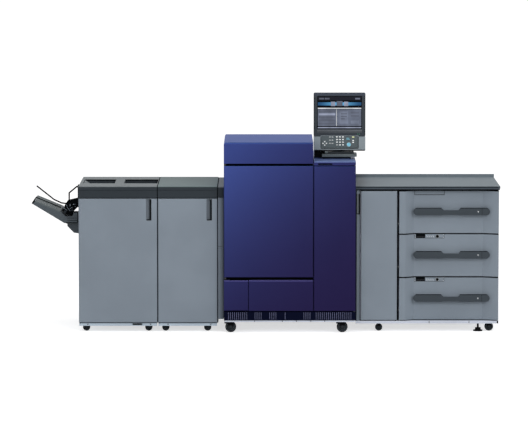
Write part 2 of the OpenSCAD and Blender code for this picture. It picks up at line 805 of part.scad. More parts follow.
module feeder_casters() {
    color("#202225") for (y = caster_y) {
        caster(feeder_x + 163, y, fbase_z1 - 8, 25, 22);
        caster(feeder_x1 - 70, y, fbase_z1 - 8, 30, 24);
    }
}

module feeder_feet() {
    color("#1f2123") for (y = [mfront + 60, mback - 60]) translate([feeder_x1 - 146, y, 0]) {
        cylinder(r = 32, h = 8);
        translate([0, 0, 8]) cylinder(r = 20, h = 16);
        cylinder(r = 7, h = fbase_z1 - 8);
    }
}

rail_in = 11;
module drawer_rails() {
    color("#9a9da0") for (z = drawer_z) {
        block([core_x1, tray_y + 10, z + 60], [core_x1 + rail_in, tray_y + tray_d, z + 64]);
        block([bay_x1 - side_t - rail_in, tray_y + 10, z + 60], [bay_x1 - side_t, tray_y + tray_d, z + 64]);
    }
}

// A drawer front in plan: flat at the left, a deep trough, and a long slope out to the right
label_x = 105;
label_x1 = 311;
label_h = 30;
label_d = 3;
module drawer_front(z) {
    w = bay_x1 - bay_x;
    color("#808991") translate([bay_x, mfront, z]) difference() {
        linear_extrude(drawer_h)
            polygon([[3, 0], [42, 0], [102, trough_d], [573, trough_d], [w - 3, 2], [w, 5],
                [w, front_t], [0, front_t], [0, 3]]);
        // Shallow recess for the label or the display, open at the top edge
        block([label_x, trough_d - eps, drawer_h - label_h],
            [label_x1, trough_d + label_d, drawer_h + eps]);
    }
}

module drawer_tray(z) {
    x0 = core_x1 + 14;
    x1 = bay_x1 - side_t - 14;
    color("#a4a8ab") difference() {
        union() {
            block([x0, tray_y, z + 30], [x1, tray_y + tray_d, z + 30 + tray_h]);
            for (s = [[x0 - 7, x0], [x1, x1 + 7]])
                block([s[0], tray_y + 12, z + 65], [s[1], tray_y + tray_d, z + 85]);
        }
        block([x0 + sheet_t, tray_y + sheet_t, z + 30 + sheet_t],
            [x1 - sheet_t, tray_y + tray_d - sheet_t, z + 31 + tray_h]);
    }
}

pull_x = feeder_x + 397;
pull_t = 16;
pull_h = 50;
pull_z = 151;
// The bar's upper edge dips between these lengths from its left end, its lower edge hardly does.
waist = [190, 208, 308, 322];
dip = 16;
lower_dip = 2;
module drawer_pull(z) {
    zc = z + pull_z;
    r = pull_h / 2;
    color("#3e464e") {
        intersection() {
            translate([pull_x, mfront + pull_t, zc]) rotate([90, 0, 0]) linear_extrude(pull_t) {
                translate([r, 0]) circle(r = r);
                translate([pull_l - r, 0]) circle(r = r);
                polygon([[r, -r], [waist[0], -r], [waist[1], lower_dip - r], [waist[2], lower_dip - r],
                    [waist[3], -r], [pull_l - r, -r], [pull_l - r, r], [waist[3], r],
                    [waist[2], r - dip], [waist[1], r - dip], [waist[0], r], [r, r]]);
            }
            along_x(pull_x, pull_x + pull_l)
                cover_profile(zc - r, zc + r, mfront, pull_t, edge_r, edge_r);
        }
        block([pull_x + 8, mfront + pull_t, zc - 14], [pull_x + 34, mfront + trough_d, zc + 14]);
        translate([0, 0, zc - 14]) linear_extrude(28)
            polygon([[pull_x + pull_l - 60, mfront + pull_t], [pull_x + pull_l - 24, mfront + pull_t],
                [pull_x + pull_l - 24, slope_y(pull_x + pull_l - 24)],
                [pull_x + pull_l - 60, slope_y(pull_x + pull_l - 60)]]);
    }
}

// Depth of the drawer front's right-hand slope at x
function slope_y(x) = mfront + trough_d - (trough_d - 2) * max(0, x - bay_x - 573) / (bay_x1 - bay_x - 573);

// Sheet-level display and button, which stand in the recess at the top edge of a drawer front
module drawer_display(z) {
    z1 = z + drawer_h;
    y = mfront + trough_d + label_d;
    color("#17191c") {
        block([bay_x + label_x + 11, y - 2, z1 - 28], [bay_x + label_x + 75, y, z1 - 6]);
        translate([bay_x + label_x + 159, y, z1 - 16]) rotate([90, 0, 0]) cylinder(r = 10, h = 4);
    }
}

finisher_body();
finisher_top();
finisher_fascia();
finisher_door();
exit_unit();
stack_tray();
tray_carriage();
guide_wires();
relay_body();
relay_top();
relay_fascia();
relay_door();
module_bases();
module_casters();
filler_panel();
filler_top();
engine_body();
engine_lid();
main_door();
tower_top();
tower_door();
waste_door();
lower_panel();
engine_plinth();
base_rail();
engine_casters();
hinge_pins();
inner_covers();
panel_base();
panel_arm();
monitor();
screen();
key_unit();
keys();
feeder_left_wall();
feeder_core();
feeder_right_wall();
feeder_back();
feeder_base();
feeder_top();
feeder_top_band();
feeder_door();
feeder_casters();
feeder_feet();
drawer_rails();
drawer_front(drawer_z[0]);  // drawer_1_front
drawer_tray(drawer_z[0]);  // drawer_1_tray
drawer_pull(drawer_z[0]);  // drawer_1_pull
drawer_front(drawer_z[1]);  // drawer_2_front
drawer_tray(drawer_z[1]);  // drawer_2_tray
drawer_pull(drawer_z[1]);  // drawer_2_pull
drawer_display(drawer_z[1]);  // drawer_2_display
drawer_front(drawer_z[2]);  // drawer_3_front
drawer_tray(drawer_z[2]);  // drawer_3_tray
drawer_pull(drawer_z[2]);  // drawer_3_pull
drawer_display(drawer_z[2]);  // drawer_3_display
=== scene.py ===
import bmesh
import bpy
import math
from mathutils import Matrix, Vector


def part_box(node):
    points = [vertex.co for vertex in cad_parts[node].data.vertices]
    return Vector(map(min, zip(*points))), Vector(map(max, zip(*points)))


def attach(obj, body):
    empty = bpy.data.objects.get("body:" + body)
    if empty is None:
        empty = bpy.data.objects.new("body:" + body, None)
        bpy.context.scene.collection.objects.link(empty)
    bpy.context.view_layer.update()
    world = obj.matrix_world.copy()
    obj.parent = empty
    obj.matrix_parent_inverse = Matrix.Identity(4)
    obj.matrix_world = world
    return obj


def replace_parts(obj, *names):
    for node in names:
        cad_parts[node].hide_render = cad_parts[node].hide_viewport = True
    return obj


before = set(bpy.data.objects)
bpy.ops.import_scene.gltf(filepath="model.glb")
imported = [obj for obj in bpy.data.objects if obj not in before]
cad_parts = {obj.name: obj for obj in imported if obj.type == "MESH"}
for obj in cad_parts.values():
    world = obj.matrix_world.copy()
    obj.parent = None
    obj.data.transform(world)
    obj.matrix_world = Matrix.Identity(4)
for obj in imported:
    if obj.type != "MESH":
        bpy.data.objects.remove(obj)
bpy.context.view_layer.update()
print("frame loaded:", len(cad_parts), "nodes")

scene = bpy.context.scene
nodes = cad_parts

# the camera stands far off, a little above the line, and looks slightly down
viewpoint = {
    "place": (-0.0084, -25.562, 3.319),
    "tilt": 5.640,  # degrees
    "lens": 252.18,  # mm, on a sensor 36 mm wide
}

camera = bpy.data.objects.new("camera", bpy.data.cameras.new("camera"))
scene.collection.objects.link(camera)
camera.location = viewpoint["place"]
camera.rotation_euler = (math.radians(90 - viewpoint["tilt"]), 0, 0)
camera.data.lens = viewpoint["lens"]
camera.data.sensor_width = 36
camera.data.clip_end = 300
scene.camera = camera


# shader maths written as expressions: a Value is one output socket

class Value:
    def __init__(self, graph, socket):
        self.graph, self.socket = graph, socket

    def math(self, operation, other=0.0, swap=False):
        pair = (other, self) if swap else (self, other)
        return self.graph.node("ShaderNodeMath", {"operation": operation}, {0: pair[0], 1: pair[1]})

    def __add__(self, other): return self.math("ADD", other)
    def __radd__(self, other): return self.math("ADD", other, True)
    def __sub__(self, other): return self.math("SUBTRACT", other)
    def __rsub__(self, other): return self.math("SUBTRACT", other, True)
    def __mul__(self, other): return self.math("MULTIPLY", other)


class Graph:
    def __init__(self, name):
        self.material = bpy.data.materials.new(name)
        self.material.use_nodes = True
        self.tree = self.material.node_tree
        self.tree.nodes.clear()

    def node(self, kind, settings=None, inputs=None, out=0):
        made = self.tree.nodes.new(kind)
        for key, value in (settings or {}).items():
            setattr(made, key, value)
        for key, value in (inputs or {}).items():
            if isinstance(value, Value):
                self.tree.links.new(value.socket, made.inputs[key])
            else:
                made.inputs[key].default_value = value
        return Value(self, made.outputs[out]) if len(made.outputs) else None

    def place(self):
        return self.node("ShaderNodeTexCoord", out=3)  # Object coordinates

    def axes(self):
        split = self.node("ShaderNodeSeparateXYZ", {}, {0: self.place()})
        outputs = self.tree.nodes[split.socket.node.name].outputs
        return [Value(self, outputs[i]) for i in range(3)]

    def noise(self, size, detail=2.0, stretch=(1, 1, 1)):
        place = self.node("ShaderNodeMapping", {}, {0: self.place(), 3: stretch})
        return self.node("ShaderNodeTexNoise", {}, {"Vector": place, "Scale": 1 / size, "Detail": detail})

    def ramp(self, value, low, high):
        return self.node("ShaderNodeMapRange", {"interpolation_type": "SMOOTHSTEP"},
                         {"Value": value, "From Min": low, "From Max": high})

    def mix(self, factor, first, second):
        pair = [c if isinstance(c, Value) else (*c, 1) for c in (first, second)]
        return self.node("ShaderNodeMix", {"data_type": "RGBA"}, {0: factor, 6: pair[0], 7: pair[1]}, 2)

    def finish(self, shader):
        self.node("ShaderNodeOutputMaterial", {}, {0: shader})
        return self.material


def shade(color, factor):
    return tuple(c * factor for c in color)


def coveredSurface(name, look):
    # painted sheet and moulded covers: slow tone drift, fine grain, softened edges painted paler, partly as
    # wear and partly as a painted highlight, with optional painted light and shade along the piece and on
    # upward faces
    g = Graph(name)
    tone = g.noise(look.get("toneSize", 0.35), 3)
    grain = g.noise(look.get("grainSize", 0.0012), 2, look.get("stretch", (1, 1, 1)))
    softened = g.node("ShaderNodeBevel", {"samples": 6}, {"Radius": look.get("edgeRadius", 0.0015)})
    flat = g.node("ShaderNodeNewGeometry", out=1)
    turn = g.node("ShaderNodeVectorMath", {"operation": "DOT_PRODUCT"}, {0: softened, 1: flat}, 1)
    edge = g.ramp(1.0 - turn, 0.02, 0.3)
    color = look["color"]
    spread = look.get("toneSpread", 0.04)
    base = g.mix(g.ramp(tone, 0.35, 0.65), shade(color, 1 - spread), shade(color, 1 + spread))
    if "drift" in look:  # the tone changes along the piece: painted light and shade, paler towards where light falls and darker where shade lies
        alongX, alongZ, start, power, farColor = look["drift"]
        x, y, z = g.axes()
        reach = x * alongX + z * alongZ + start
        reach = reach.math("MINIMUM", 1.0).math("MAXIMUM", 0.0)
        base = g.mix(reach.math("POWER", power), base, farColor)
    if "upColor" in look:  # painted light: upward faces are painted paler, as if lit from above
        upright = g.node("ShaderNodeSeparateXYZ", {}, {0: g.node("ShaderNodeTexCoord", out=1)}, 2)
        base = g.mix(g.ramp(upright, 0.3, 0.9), base, look["upColor"])
    speckle = g.ramp(grain, 0.3, 0.7)
    base = g.mix(speckle * look.get("speckle", 0.06), base, shade(color, 1.6))
    # edges painted paler: partly wear, partly a painted highlight where light catches the edges
    base = g.mix(edge * look.get("wear", 0.25), base, look.get("edgeColor", shade(color, 1.7)))
    rough = look["rough"] + (tone - 0.5) * 0.08 + (grain - 0.5) * 0.06
    relief = g.node("ShaderNodeBump", {}, {"Strength": look.get("relief", 0.25), "Distance": 0.0004,
                                          "Height": grain, "Normal": softened})
    settings = {"Base Color": base, "Roughness": rough, "Normal": relief,
                "Metallic": look.get("metallic", 0.0), "Specular IOR Level": look.get("specular", 0.4)}
    if "edgeTint" in look:
        settings["Specular Tint"] = (*look["edgeTint"], 1)
    return g.finish(g.node("ShaderNodeBsdfPrincipled", {}, settings))


def litSurface(name, look):
    # lit parts of the display: fine rows over a slow glow
    g = Graph(name)
    x, y, z = g.axes()
    rows = g.node("ShaderNodeMath", {"operation": "PINGPONG"}, {0: z, 1: 0.0006}) * (1 / 0.0006)
    glow = g.ramp(g.noise(look.get("glowSize", 0.06), 1), 0.3, 0.7)
    color = g.mix(glow, shade(look["color"], 0.8), shade(look["color"], 1.15))
    if "beam" in look:  # brightest in the middle, fading to both ends
        middle, reach, bright = look["beam"]
        away = (x - middle).math("ABSOLUTE") * (1 / reach)
        color = g.mix(g.ramp(1.0 - away, 0.0, 1.0), color, bright)
    color = g.mix(rows * 0.18, color, shade(look["color"], 0.6))
    return g.finish(g.node("ShaderNodeBsdfPrincipled", {}, {
        "Base Color": (0.004, 0.004, 0.005, 1), "Roughness": 0.3, "Specular IOR Level": 0.1,
        "Emission Color": color,
        "Emission Strength": look.get("strength", 1.0)}))


def look(color, rough, specular=0.4, grainSize=0.0012, **more):
    return {"color": color, "rough": rough, "specular": specular, "grainSize": grainSize, **more}


# painted light: paler and bluer towards the top left, as the light falls on it; a shading drift is its change
# along x and z, its start, its power and the colour that it ends in
indigo = look(
    (0.0149, 0.0101, 0.0446), 0.38, 0.12, 0.0008, metallic=0.5, edgeTint=(0.2, 0.32, 0.86), speckle=0.1,
    toneSpread=0.03, wear=0.6, edgeColor=(0.075, 0.078, 0.25), upColor=(0.028, 0.063, 0.2),
    drift=(-0.38, 0.42, 0.38, 3.5, (0.05, 0.079, 0.28)))
keyFace = {"toneSize": 0.01, "edgeRadius": 0.0004}
markFace = {"toneSize": 0.01, "edgeRadius": 0.0003}
looks = {
    # cabinet doors: their pale edges are a painted highlight along the edges, with some wear
    "cabinetPaint": look((0.208, 0.245, 0.288), 0.55, 0.2, wear=0.6, edgeRadius=0.0035,
                         edgeColor=(0.42, 0.47, 0.52)),
    "topPlastic": look((0.16, 0.18, 0.19), 0.65, 0.3, 0.002, relief=0.4),
    "relayTopPlastic": look((0.13, 0.17, 0.175), 0.65, 0.3, 0.002, relief=0.4),
    # darker towards its left end: painted shadow of the engine
    "worktopPlastic": look((0.15, 0.184, 0.208), 0.6, 0.3, 0.002, relief=0.4,
                           drift=(-9.0, 0.0, 6.56, 1.0, (0.076, 0.09, 0.1))),
    "edgePlastic": look((0.062, 0.077, 0.094), 0.55, 0.08, 0.0016),
    "charcoalPlastic": look((0.027, 0.034, 0.041), 0.6, 0.12, 0.0016),
    "blackPlastic": look((0.0045, 0.0052, 0.006), 0.6, 0.0, wear=0.1),
    "trayPlastic": look((0.068, 0.082, 0.094), 0.5, 0.2, 0.0015),
    "stripPlastic": look((0.15, 0.178, 0.208), 0.55, 0.2),
    # darker towards its right end beside the engine: painted shade
    "fillerPlastic": look((0.222, 0.262, 0.31), 0.55, 0.2,
                          drift=(26.3, 0.0, 8.487, 1.6, (0.042, 0.052, 0.066))),
    # a paler copy of the tray's plastic: painted light on the deck's top and painted highlights on rims
    "deckPlastic": look((0.09, 0.108, 0.113), 0.5, 0.2, 0.0015),
    # darker than the doors: painted shade on the grips' ramps
    "gripRamp": look((0.125, 0.145, 0.17), 0.5, 0.2),
    "indigoPaint": indigo,
    # the lid's copy of the indigo paint, with weaker painted light towards its top left
    "lidPaint": {**indigo, "drift": (*indigo["drift"][:4], (0.037, 0.056, 0.206))},
    # the tower's copy of the indigo paint: its much paler top colour is painted light against the shade under
    # the panel
    "towerPaint": {**indigo, "color": (0.0195, 0.014, 0.064), "metallic": 0.2, "edgeTint": (0.15, 0.2, 0.45),
                   "upColor": (0.17, 0.24, 0.46)},
    # the boss's copy: one flat paler colour, the painted light of the tower top
    "bossPaint": {**indigo, "color": (0.052, 0.072, 0.15), "metallic": 0.0, "specular": 0.0,
                  "drift": (*indigo["drift"][:4], (0.052, 0.072, 0.15))},
    # the lower panels' copy, with a stronger painted highlight on their upward top edges
    "lowerPaint": {**indigo, "upColor": (0.105, 0.098, 0.29)},
    "plinthPlastic": look((0.004, 0.0052, 0.017), 0.6, 0.0),
    "finPlastic": look((0.205, 0.22, 0.39), 0.5),
    "basePaint": look((0.56, 0.6, 0.69), 0.5, toneSpread=0.06),
    "sillPaint": look((0.42, 0.5, 0.58), 0.5, toneSpread=0.06),
    "wheelRubber": look((0.005, 0.005, 0.006), 0.6, 0.04, 0.003, wear=0.15),
    "platedSteel": look((0.5, 0.51, 0.52), 0.35, metallic=1.0, grainSize=0.0006, stretch=(0.05, 1, 1)),
    "darkSteel": look((0.035, 0.036, 0.04), 0.45, metallic=0.9, grainSize=0.0006),
    "sheetZinc": look((0.42, 0.44, 0.45), 0.35, metallic=0.8, grainSize=0.02, speckle=0.2, relief=0.05),
    "wirePaint": look((0.004, 0.004, 0.005), 0.5, 0.0, edgeRadius=0.0003),
    "panelPlastic": look((0.032, 0.039, 0.047), 0.5, 0.15,
                         drift=(0.0, 31.0, -49.6, 1.0, (0.052, 0.064, 0.092))),
    "armPlastic": look((0.018, 0.022, 0.026), 0.5, 0.15),
    "platePlastic": look((0.078, 0.095, 0.102), 0.45, 0.25),
    "wingPlastic": look((0.232, 0.269, 0.291), 0.5, 0.2),
    "insetPlastic": look((0.087, 0.109, 0.116), 0.45, 0.2),
    "chinLight": look((0.12, 0.13, 0.145), 0.45, 0.2),
    "chinMiddle": look((0.06, 0.068, 0.076), 0.45, 0.2),
    "keyPlastic": look((0.86, 0.88, 0.87), 0.4, edgeRadius=0.0004, toneSize=0.02),
    "greyKeyPlastic": look((0.42, 0.44, 0.44), 0.4, edgeRadius=0.0004, toneSize=0.02),
    "startKeyPlastic": look((0.22, 0.58, 0.74), 0.3, **keyFace),
    "saveKeyPlastic": look((0.76, 0.8, 0.42), 0.35, **keyFace),
    "labelPlastic": look((0.16, 0.42, 0.52), 0.35, toneSize=0.01),
    "pullPlastic": look((0.04, 0.05, 0.06), 0.5, 0.15, 0.0014),
    "markPaint": look((0.85, 0.88, 0.9), 0.5, **markFace),
    "digitPaint": look((0.022, 0.026, 0.032), 0.5, **markFace),
    "greenPlastic": look((0.02, 0.22, 0.1), 0.4),
    "tonerYellow": look((0.7, 0.52, 0.04), 0.4, toneSize=0.05),
    "tonerMagenta": look((0.42, 0.03, 0.16), 0.4, toneSize=0.05),
    "tonerCyan": look((0.03, 0.3, 0.5), 0.4, toneSize=0.05),
    "tonerBlack": look((0.012, 0.012, 0.014), 0.4, toneSize=0.05),
}
materials = {name: coveredSurface(name, values) for name, values in looks.items()}

nodesByFinish = {
    "cabinetPaint": "finisher_body finisher_door relay_body relay_door feeder_right_wall feeder_back "
                    "feeder_door drawer_1_front drawer_2_front drawer_3_front",
    "topPlastic": "finisher_top filler_top",
    "relayTopPlastic": "relay_top",
    "charcoalPlastic": "finisher_fascia relay_fascia",
    "blackPlastic": "exit_unit panel_base feeder_core drawer_2_display drawer_3_display",
    "trayPlastic": "stack_tray tray_carriage inner_covers",
    "wirePaint": "guide_wires",
    "sillPaint": "module_bases",
    "wheelRubber": "module_casters engine_casters feeder_casters feeder_feet",
    "fillerPlastic": "filler_panel",
    "indigoPaint": "engine_body main_door tower_door",
    "lidPaint": "engine_lid",
    "towerPaint": "tower_top",
    "lowerPaint": "waste_door lower_panel",
    "plinthPlastic": "engine_plinth",
    "basePaint": "base_rail feeder_base",
    "darkSteel": "hinge_pins",
    "armPlastic": "panel_arm",
    "panelPlastic": "monitor",
    "wingPlastic": "key_unit",
    "stripPlastic": "feeder_left_wall",
    "worktopPlastic": "feeder_top",
    "edgePlastic": "feeder_top_band",
    "platedSteel": "drawer_rails",
    "sheetZinc": "drawer_1_tray drawer_2_tray drawer_3_tray",
    "pullPlastic": "drawer_1_pull drawer_2_pull drawer_3_pull",
}
for finish, names in nodesByFinish.items():
    for name in names.split():
        nodes[name].data.materials.clear()
        nodes[name].data.materials.append(materials[finish])
print("finishes on the nodes done")


# modelling helpers

toFront = (0, -1, 0)


def addBlock(bm, low, high, bevel=0.0, segments=2, turn=None):
    made = bmesh.ops.create_cube(bm, size=1)["verts"]
    size = [b - a for a, b in zip(low, high)]
    middle = [(a + b) / 2 for a, b in zip(low, high)]
    bmesh.ops.scale(bm, vec=size, verts=made)
    bmesh.ops.translate(bm, vec=middle, verts=made)
    if turn:
        degrees, axis, centre = turn
        bmesh.ops.rotate(bm, verts=made, cent=centre, matrix=Matrix.Rotation(math.radians(degrees), 3, axis))
    if bevel:
        edges = list({e for v in made for e in v.link_edges})
        bmesh.ops.bevel(bm, geom=edges, offset=bevel, segments=segments, affect="EDGES",
                        profile=0.5, material=-1)


def plate(x0, x1, z0, z1, face, out, deep, bevel=0.0, segments=2, turn=None):
    # a thin block on a face that looks to the front: how far it stands out of it and reaches into it
    return (x0, face - out, z0), (x1, face + deep, z1), bevel, segments, turn


def cutCopy(name, cuts):
    # a copy of a node's shape, cut by planes: each cut is a point and the direction that is taken away
    bm = bmesh.new()
    bm.from_mesh(nodes[name].data)
    bmesh.ops.remove_doubles(bm, verts=bm.verts, dist=1e-6)
    for point, away in cuts:
        bmesh.ops.bisect_plane(bm, geom=bm.verts[:] + bm.edges[:] + bm.faces[:], dist=1e-7,
                               plane_co=point, plane_no=away, clear_outer=True)
        bmesh.ops.holes_fill(bm, edges=[e for e in bm.edges if e.is_boundary])
    return bm


def towards(axis):
    return Vector((0, 0, 1)).rotation_difference(Vector(axis)).to_matrix().to_4x4()


def addTurned(bm, outline, middle, axis=toFront, steps=28):
    # outline: (radius, distance along the axis) from one end to the other
    whole = Matrix.Translation(middle) @ towards(axis)
    verts = [bm.verts.new(whole @ Vector((r, 0, h))) for r, h in outline]
    edges = [bm.edges.new(pair) for pair in zip(verts, verts[1:])]
    bmesh.ops.spin(bm, geom=verts + edges, cent=middle, axis=axis, angle=2 * math.pi, steps=steps,
                   use_merge=True)


screwForms = {
    "sill": [(0, 0), (0.0042, 0), (0.004, 0.0012), (0.0028, 0.0021), (0.0012, 0.0024), (0.001, 0.0014),
             (0, 0.0014)],
    "cover": [(0, 0), (0.0045, 0), (0.0043, 0.001), (0.003, 0.002), (0.0012, 0.0022), (0.001, 0.0012),
              (0, 0.0012)],
    "back": [(0, 0), (0.005, 0), (0.0048, 0.0012), (0.0034, 0.0024), (0.0014, 0.0026), (0.0012, 0.0014),
             (0, 0.0014)],
}


def screws(form, columns, rows, face, axis=toFront):
    return [(screwForms[form], (x, face, z), axis, 14) for x in columns for z in rows]


def finishPiece(name, bm, body, finish, smooth=True):
    bmesh.ops.remove_doubles(bm, verts=bm.verts, dist=1e-6)
    bmesh.ops.recalc_face_normals(bm, faces=bm.faces)
    mesh = bpy.data.meshes.new(name)
    bm.to_mesh(mesh)
    bm.free()
    piece = bpy.data.objects.new(name, mesh)
    scene.collection.objects.link(piece)
    mesh.materials.append(materials[finish])
    if smooth:
        mesh.shade_smooth()
        mesh.set_sharp_from_angle(angle=math.radians(35))
    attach(piece, body)
    return piece


def makePiece(name, body, finish, slot, *parts, smooth=True):
    # parts: the values of addBlock, or those of addTurned, which start with a list
    bm = bmesh.new()
    for part in parts:
        (addTurned if isinstance(part[0], list) else addBlock)(bm, *part)
    return finishPiece(name, bm, body, finish, smooth)


def blackPiece(name, *parts, body="cabinets", slot="black_plastic", smooth=True):
    return makePiece(name, body, "blackPlastic", slot, *parts, smooth=smooth)


# screen: a glass plate with a plain job list and a preview laid out on it

screenLook = {
    "margin": 0.004,
    "tiles": [  # left, bottom, right, top in percent of the screen, and the colour's name
        (0, 88, 100, 100, "header"), (3, 91, 14, 96, "cell"), (16, 91, 27, 96, "cell"),
        (86, 91, 97, 96, "pane"), (0, 72, 100, 82, "banner"), (30, 70, 40, 84, "light"),
        (43, 70, 57, 86, "cell"), (60, 70, 70, 84, "light"), (0, 61.5, 100, 64.5, "white"),
        (0, 7, 42, 60, "pane"), (44, 7, 100, 60, "pane"), (42.5, 7, 43.5, 60, "white"),
        (2, 50, 40, 57, "cell"), (2, 41, 40, 47, "light"), (2, 31, 40, 38, "cell"), (2, 21, 40, 28, "cell"),
        (2, 11, 40, 18, "cell"), (50, 14, 70, 54, "soft"), (53, 44, 67, 47, "cell"),
        (53, 36, 67, 39, "cell"), (53, 28, 62, 31, "cell"), (76, 46, 95, 52, "cell"),
        (76, 36, 95, 42, "cell"), (76, 14, 95, 24, "soft"), (0, 0, 100, 3.5, "light")],
    "colors": {"header": (0.004, 0.005, 0.012), "banner": (0.01, 0.075, 0.19), "white": (0.8, 0.82, 0.86),
               "pane": (0.13, 0.15, 0.205), "cell": (0.105, 0.118, 0.16), "light": (0.3, 0.33, 0.44),
               "soft": (0.175, 0.2, 0.27)},
    "bannerGlow": (0.12, 0.42, 0.72),
}


def makeScreen():
    low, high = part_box("screen")
    glass = blackPiece("screen_glass", ((low.x, low.y + 0.0006, low.z), high, 0.0004),
                       body="operator_panel", slot="screen_glass")
    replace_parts(glass, "screen")
    margin, tiles = screenLook["margin"], screenLook["tiles"]
    left, foot = low.x + margin, low.z + margin
    wide, tall = high.x - low.x - 2 * margin, high.z - low.z - 2 * margin
    for colorName, color in screenLook["colors"].items():
        key, lit = "lit_" + colorName, {"color": color}
        if colorName == "banner":
            lit["beam"] = ((low.x + high.x) / 2, wide / 2, screenLook["bannerGlow"])
        materials[key] = litSurface(key, lit)
        blocks = []
        for n, (x0, z0, x1, z1, tileColor) in enumerate(tiles):
            if tileColor == colorName:  # later tiles lie over the earlier ones
                face = low.y + 0.0001 + 0.00001 * (len(tiles) - 1 - n)
                blocks.append(((left + x0 / 100 * wide, face, foot + z0 / 100 * tall),
                               (left + x1 / 100 * wide, low.y + 0.0007, foot + z1 / 100 * tall), 0.00005, 1))
        makePiece("picture_" + colorName, "operator_panel", key, "screen_glass", *blocks, smooth=False)


# key unit: a dark inset with domed keys; places count from the unit's lower left corner

keyLook = {
    "numberKeys": {"first": (0.16, 0.0405), "pitch": (0.0205, 0.0185)},
    "modeKeys": {"first": (0.112, 0.051), "pitch": (0.017, 0.022)},
    "stopKeys": {"first": (0.271, 0.058), "pitch": (0, 0.013)},
    "keySize": (0.012, 0.008),
    "arrowKeys": ((0.076, 0.051), 0.012, 0.0045),  # middle, reach and radius
    "startKey": ((0.241, 0.043), 0.013, 0.0152),  # middle, radius and the radius of its ring
    "saveKey": ((0.271, 0.0945), (0.016, 0.009)),  # middle and size
    "signs": "*0#789456123",  # from the foot up
    "signSize": 0.006,
}


def makeKeys():
    unitLow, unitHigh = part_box("key_unit")
    keysLow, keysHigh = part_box("keys")
    left, foot, back, front = unitLow.x, unitLow.z, keysHigh.y, keysLow.y

    def grid(name, columns, rows):
        (x, z), (stepX, stepZ) = keyLook[name]["first"], keyLook[name]["pitch"]
        return [(x + i * stepX, z + j * stepZ) for j in range(rows) for i in range(columns)]

    def cap(x, z, size=keyLook["keySize"]):
        return ((left + x - size[0] / 2, front, foot + z - size[1] / 2),
                (left + x + size[0] / 2, back, foot + z + size[1] / 2), 0.0012, 3)

    def roundCap(x, z, radius):
        rim = radius - 0.001
        return ([(0, 0), (radius, 0), (radius, 0.0018), (rim, 0.0028), (0.6 * rim, 0.003), (0, 0.003)],
                (left + x, back, foot + z))

    def keyPiece(name, finish, *parts):
        return makePiece(name, "operator_panel", finish, "key_white", *parts)

    spots, turns = grid("numberKeys", 3, 4), [i * math.pi / 2 for i in range(4)]
    (x, z), reach, radius = keyLook["arrowKeys"]
    white = keyPiece("key_caps_white", "keyPlastic",
                     *[cap(*spot) for spot in spots[1:] + grid("stopKeys", 1, 2)],
                     *[roundCap(x + reach * math.cos(a), z + reach * math.sin(a), radius) for a in turns])
    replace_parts(white, "keys")
    keyPiece("key_caps_grey", "greyKeyPlastic", *[cap(*spot) for spot in spots[:1] + grid("modeKeys", 2, 3)])
    middle, radius, ring = keyLook["startKey"]
    keyPiece("start_key", "startKeyPlastic", roundCap(*middle, radius))
    keyPiece("start_key_ring", "greyKeyPlastic",
             ([(ring - 0.002, 0), (ring, 0), (ring, 0.0012), (ring - 0.0008, 0.0018),
               (ring - 0.002, 0.0012), (ring - 0.002, 0)], (left + middle[0], back, foot + middle[1])))
    middle, size = keyLook["saveKey"]
    keyPiece("save_key", "saveKeyPlastic", cap(*middle, size))

    bm = bmesh.new()
    for sign, (x, z) in zip(keyLook["signs"], spots):
        curve = bpy.data.curves.new("sign", "FONT")
        curve.body, curve.size, curve.extrude = sign, keyLook["signSize"], 0.00008
        curve.align_x, curve.align_y = "CENTER", "CENTER"
        text = bpy.data.objects.new("sign", curve)
        scene.collection.objects.link(text)
        bpy.context.view_layer.update()
        mesh = bpy.data.meshes.new_from_object(text.evaluated_get(bpy.context.evaluated_depsgraph_get()))
        mesh.transform(Matrix.Translation((left + x, front - 0.00002, foot + z))
                       @ Matrix.Rotation(math.pi / 2, 4, "X"))
        bm.from_mesh(mesh)
        bpy.data.objects.remove(text)
        bpy.data.meshes.remove(mesh)
    finishPiece("key_numbers", bm, "operator_panel", "blackPlastic", smooth=False)
    makePiece("key_inset", "operator_panel", "insetPlastic", "panel_grey",
              plate(left + 0.0525, left + 0.3035, foot + 0.0215, unitHigh.z - 0.0035, back, 0.0004, 0.001,
                    0.0003, 1))


# operator panel: trims on the housings

panelLook = {
    "sideWidth": 0.0042,
    "topWidth": 0.0022,
    "chin": ((0.041, 0.047, "chinLight"), (0.026, 0.0405, "chinMiddle")),  # heights over the foot, finish
    "lipHeight": 0.0078,
    "label": ((0.236, 0.077), (0.024, 0.0045)),  # place and size of a bar
    "lamps": (0.04, 0.052),  # from the right side
    "ledColor": (0.1, 0.55, 0.3),
    "plateReach": 0.019,  # of the swivel plate, to the left of the arm
}


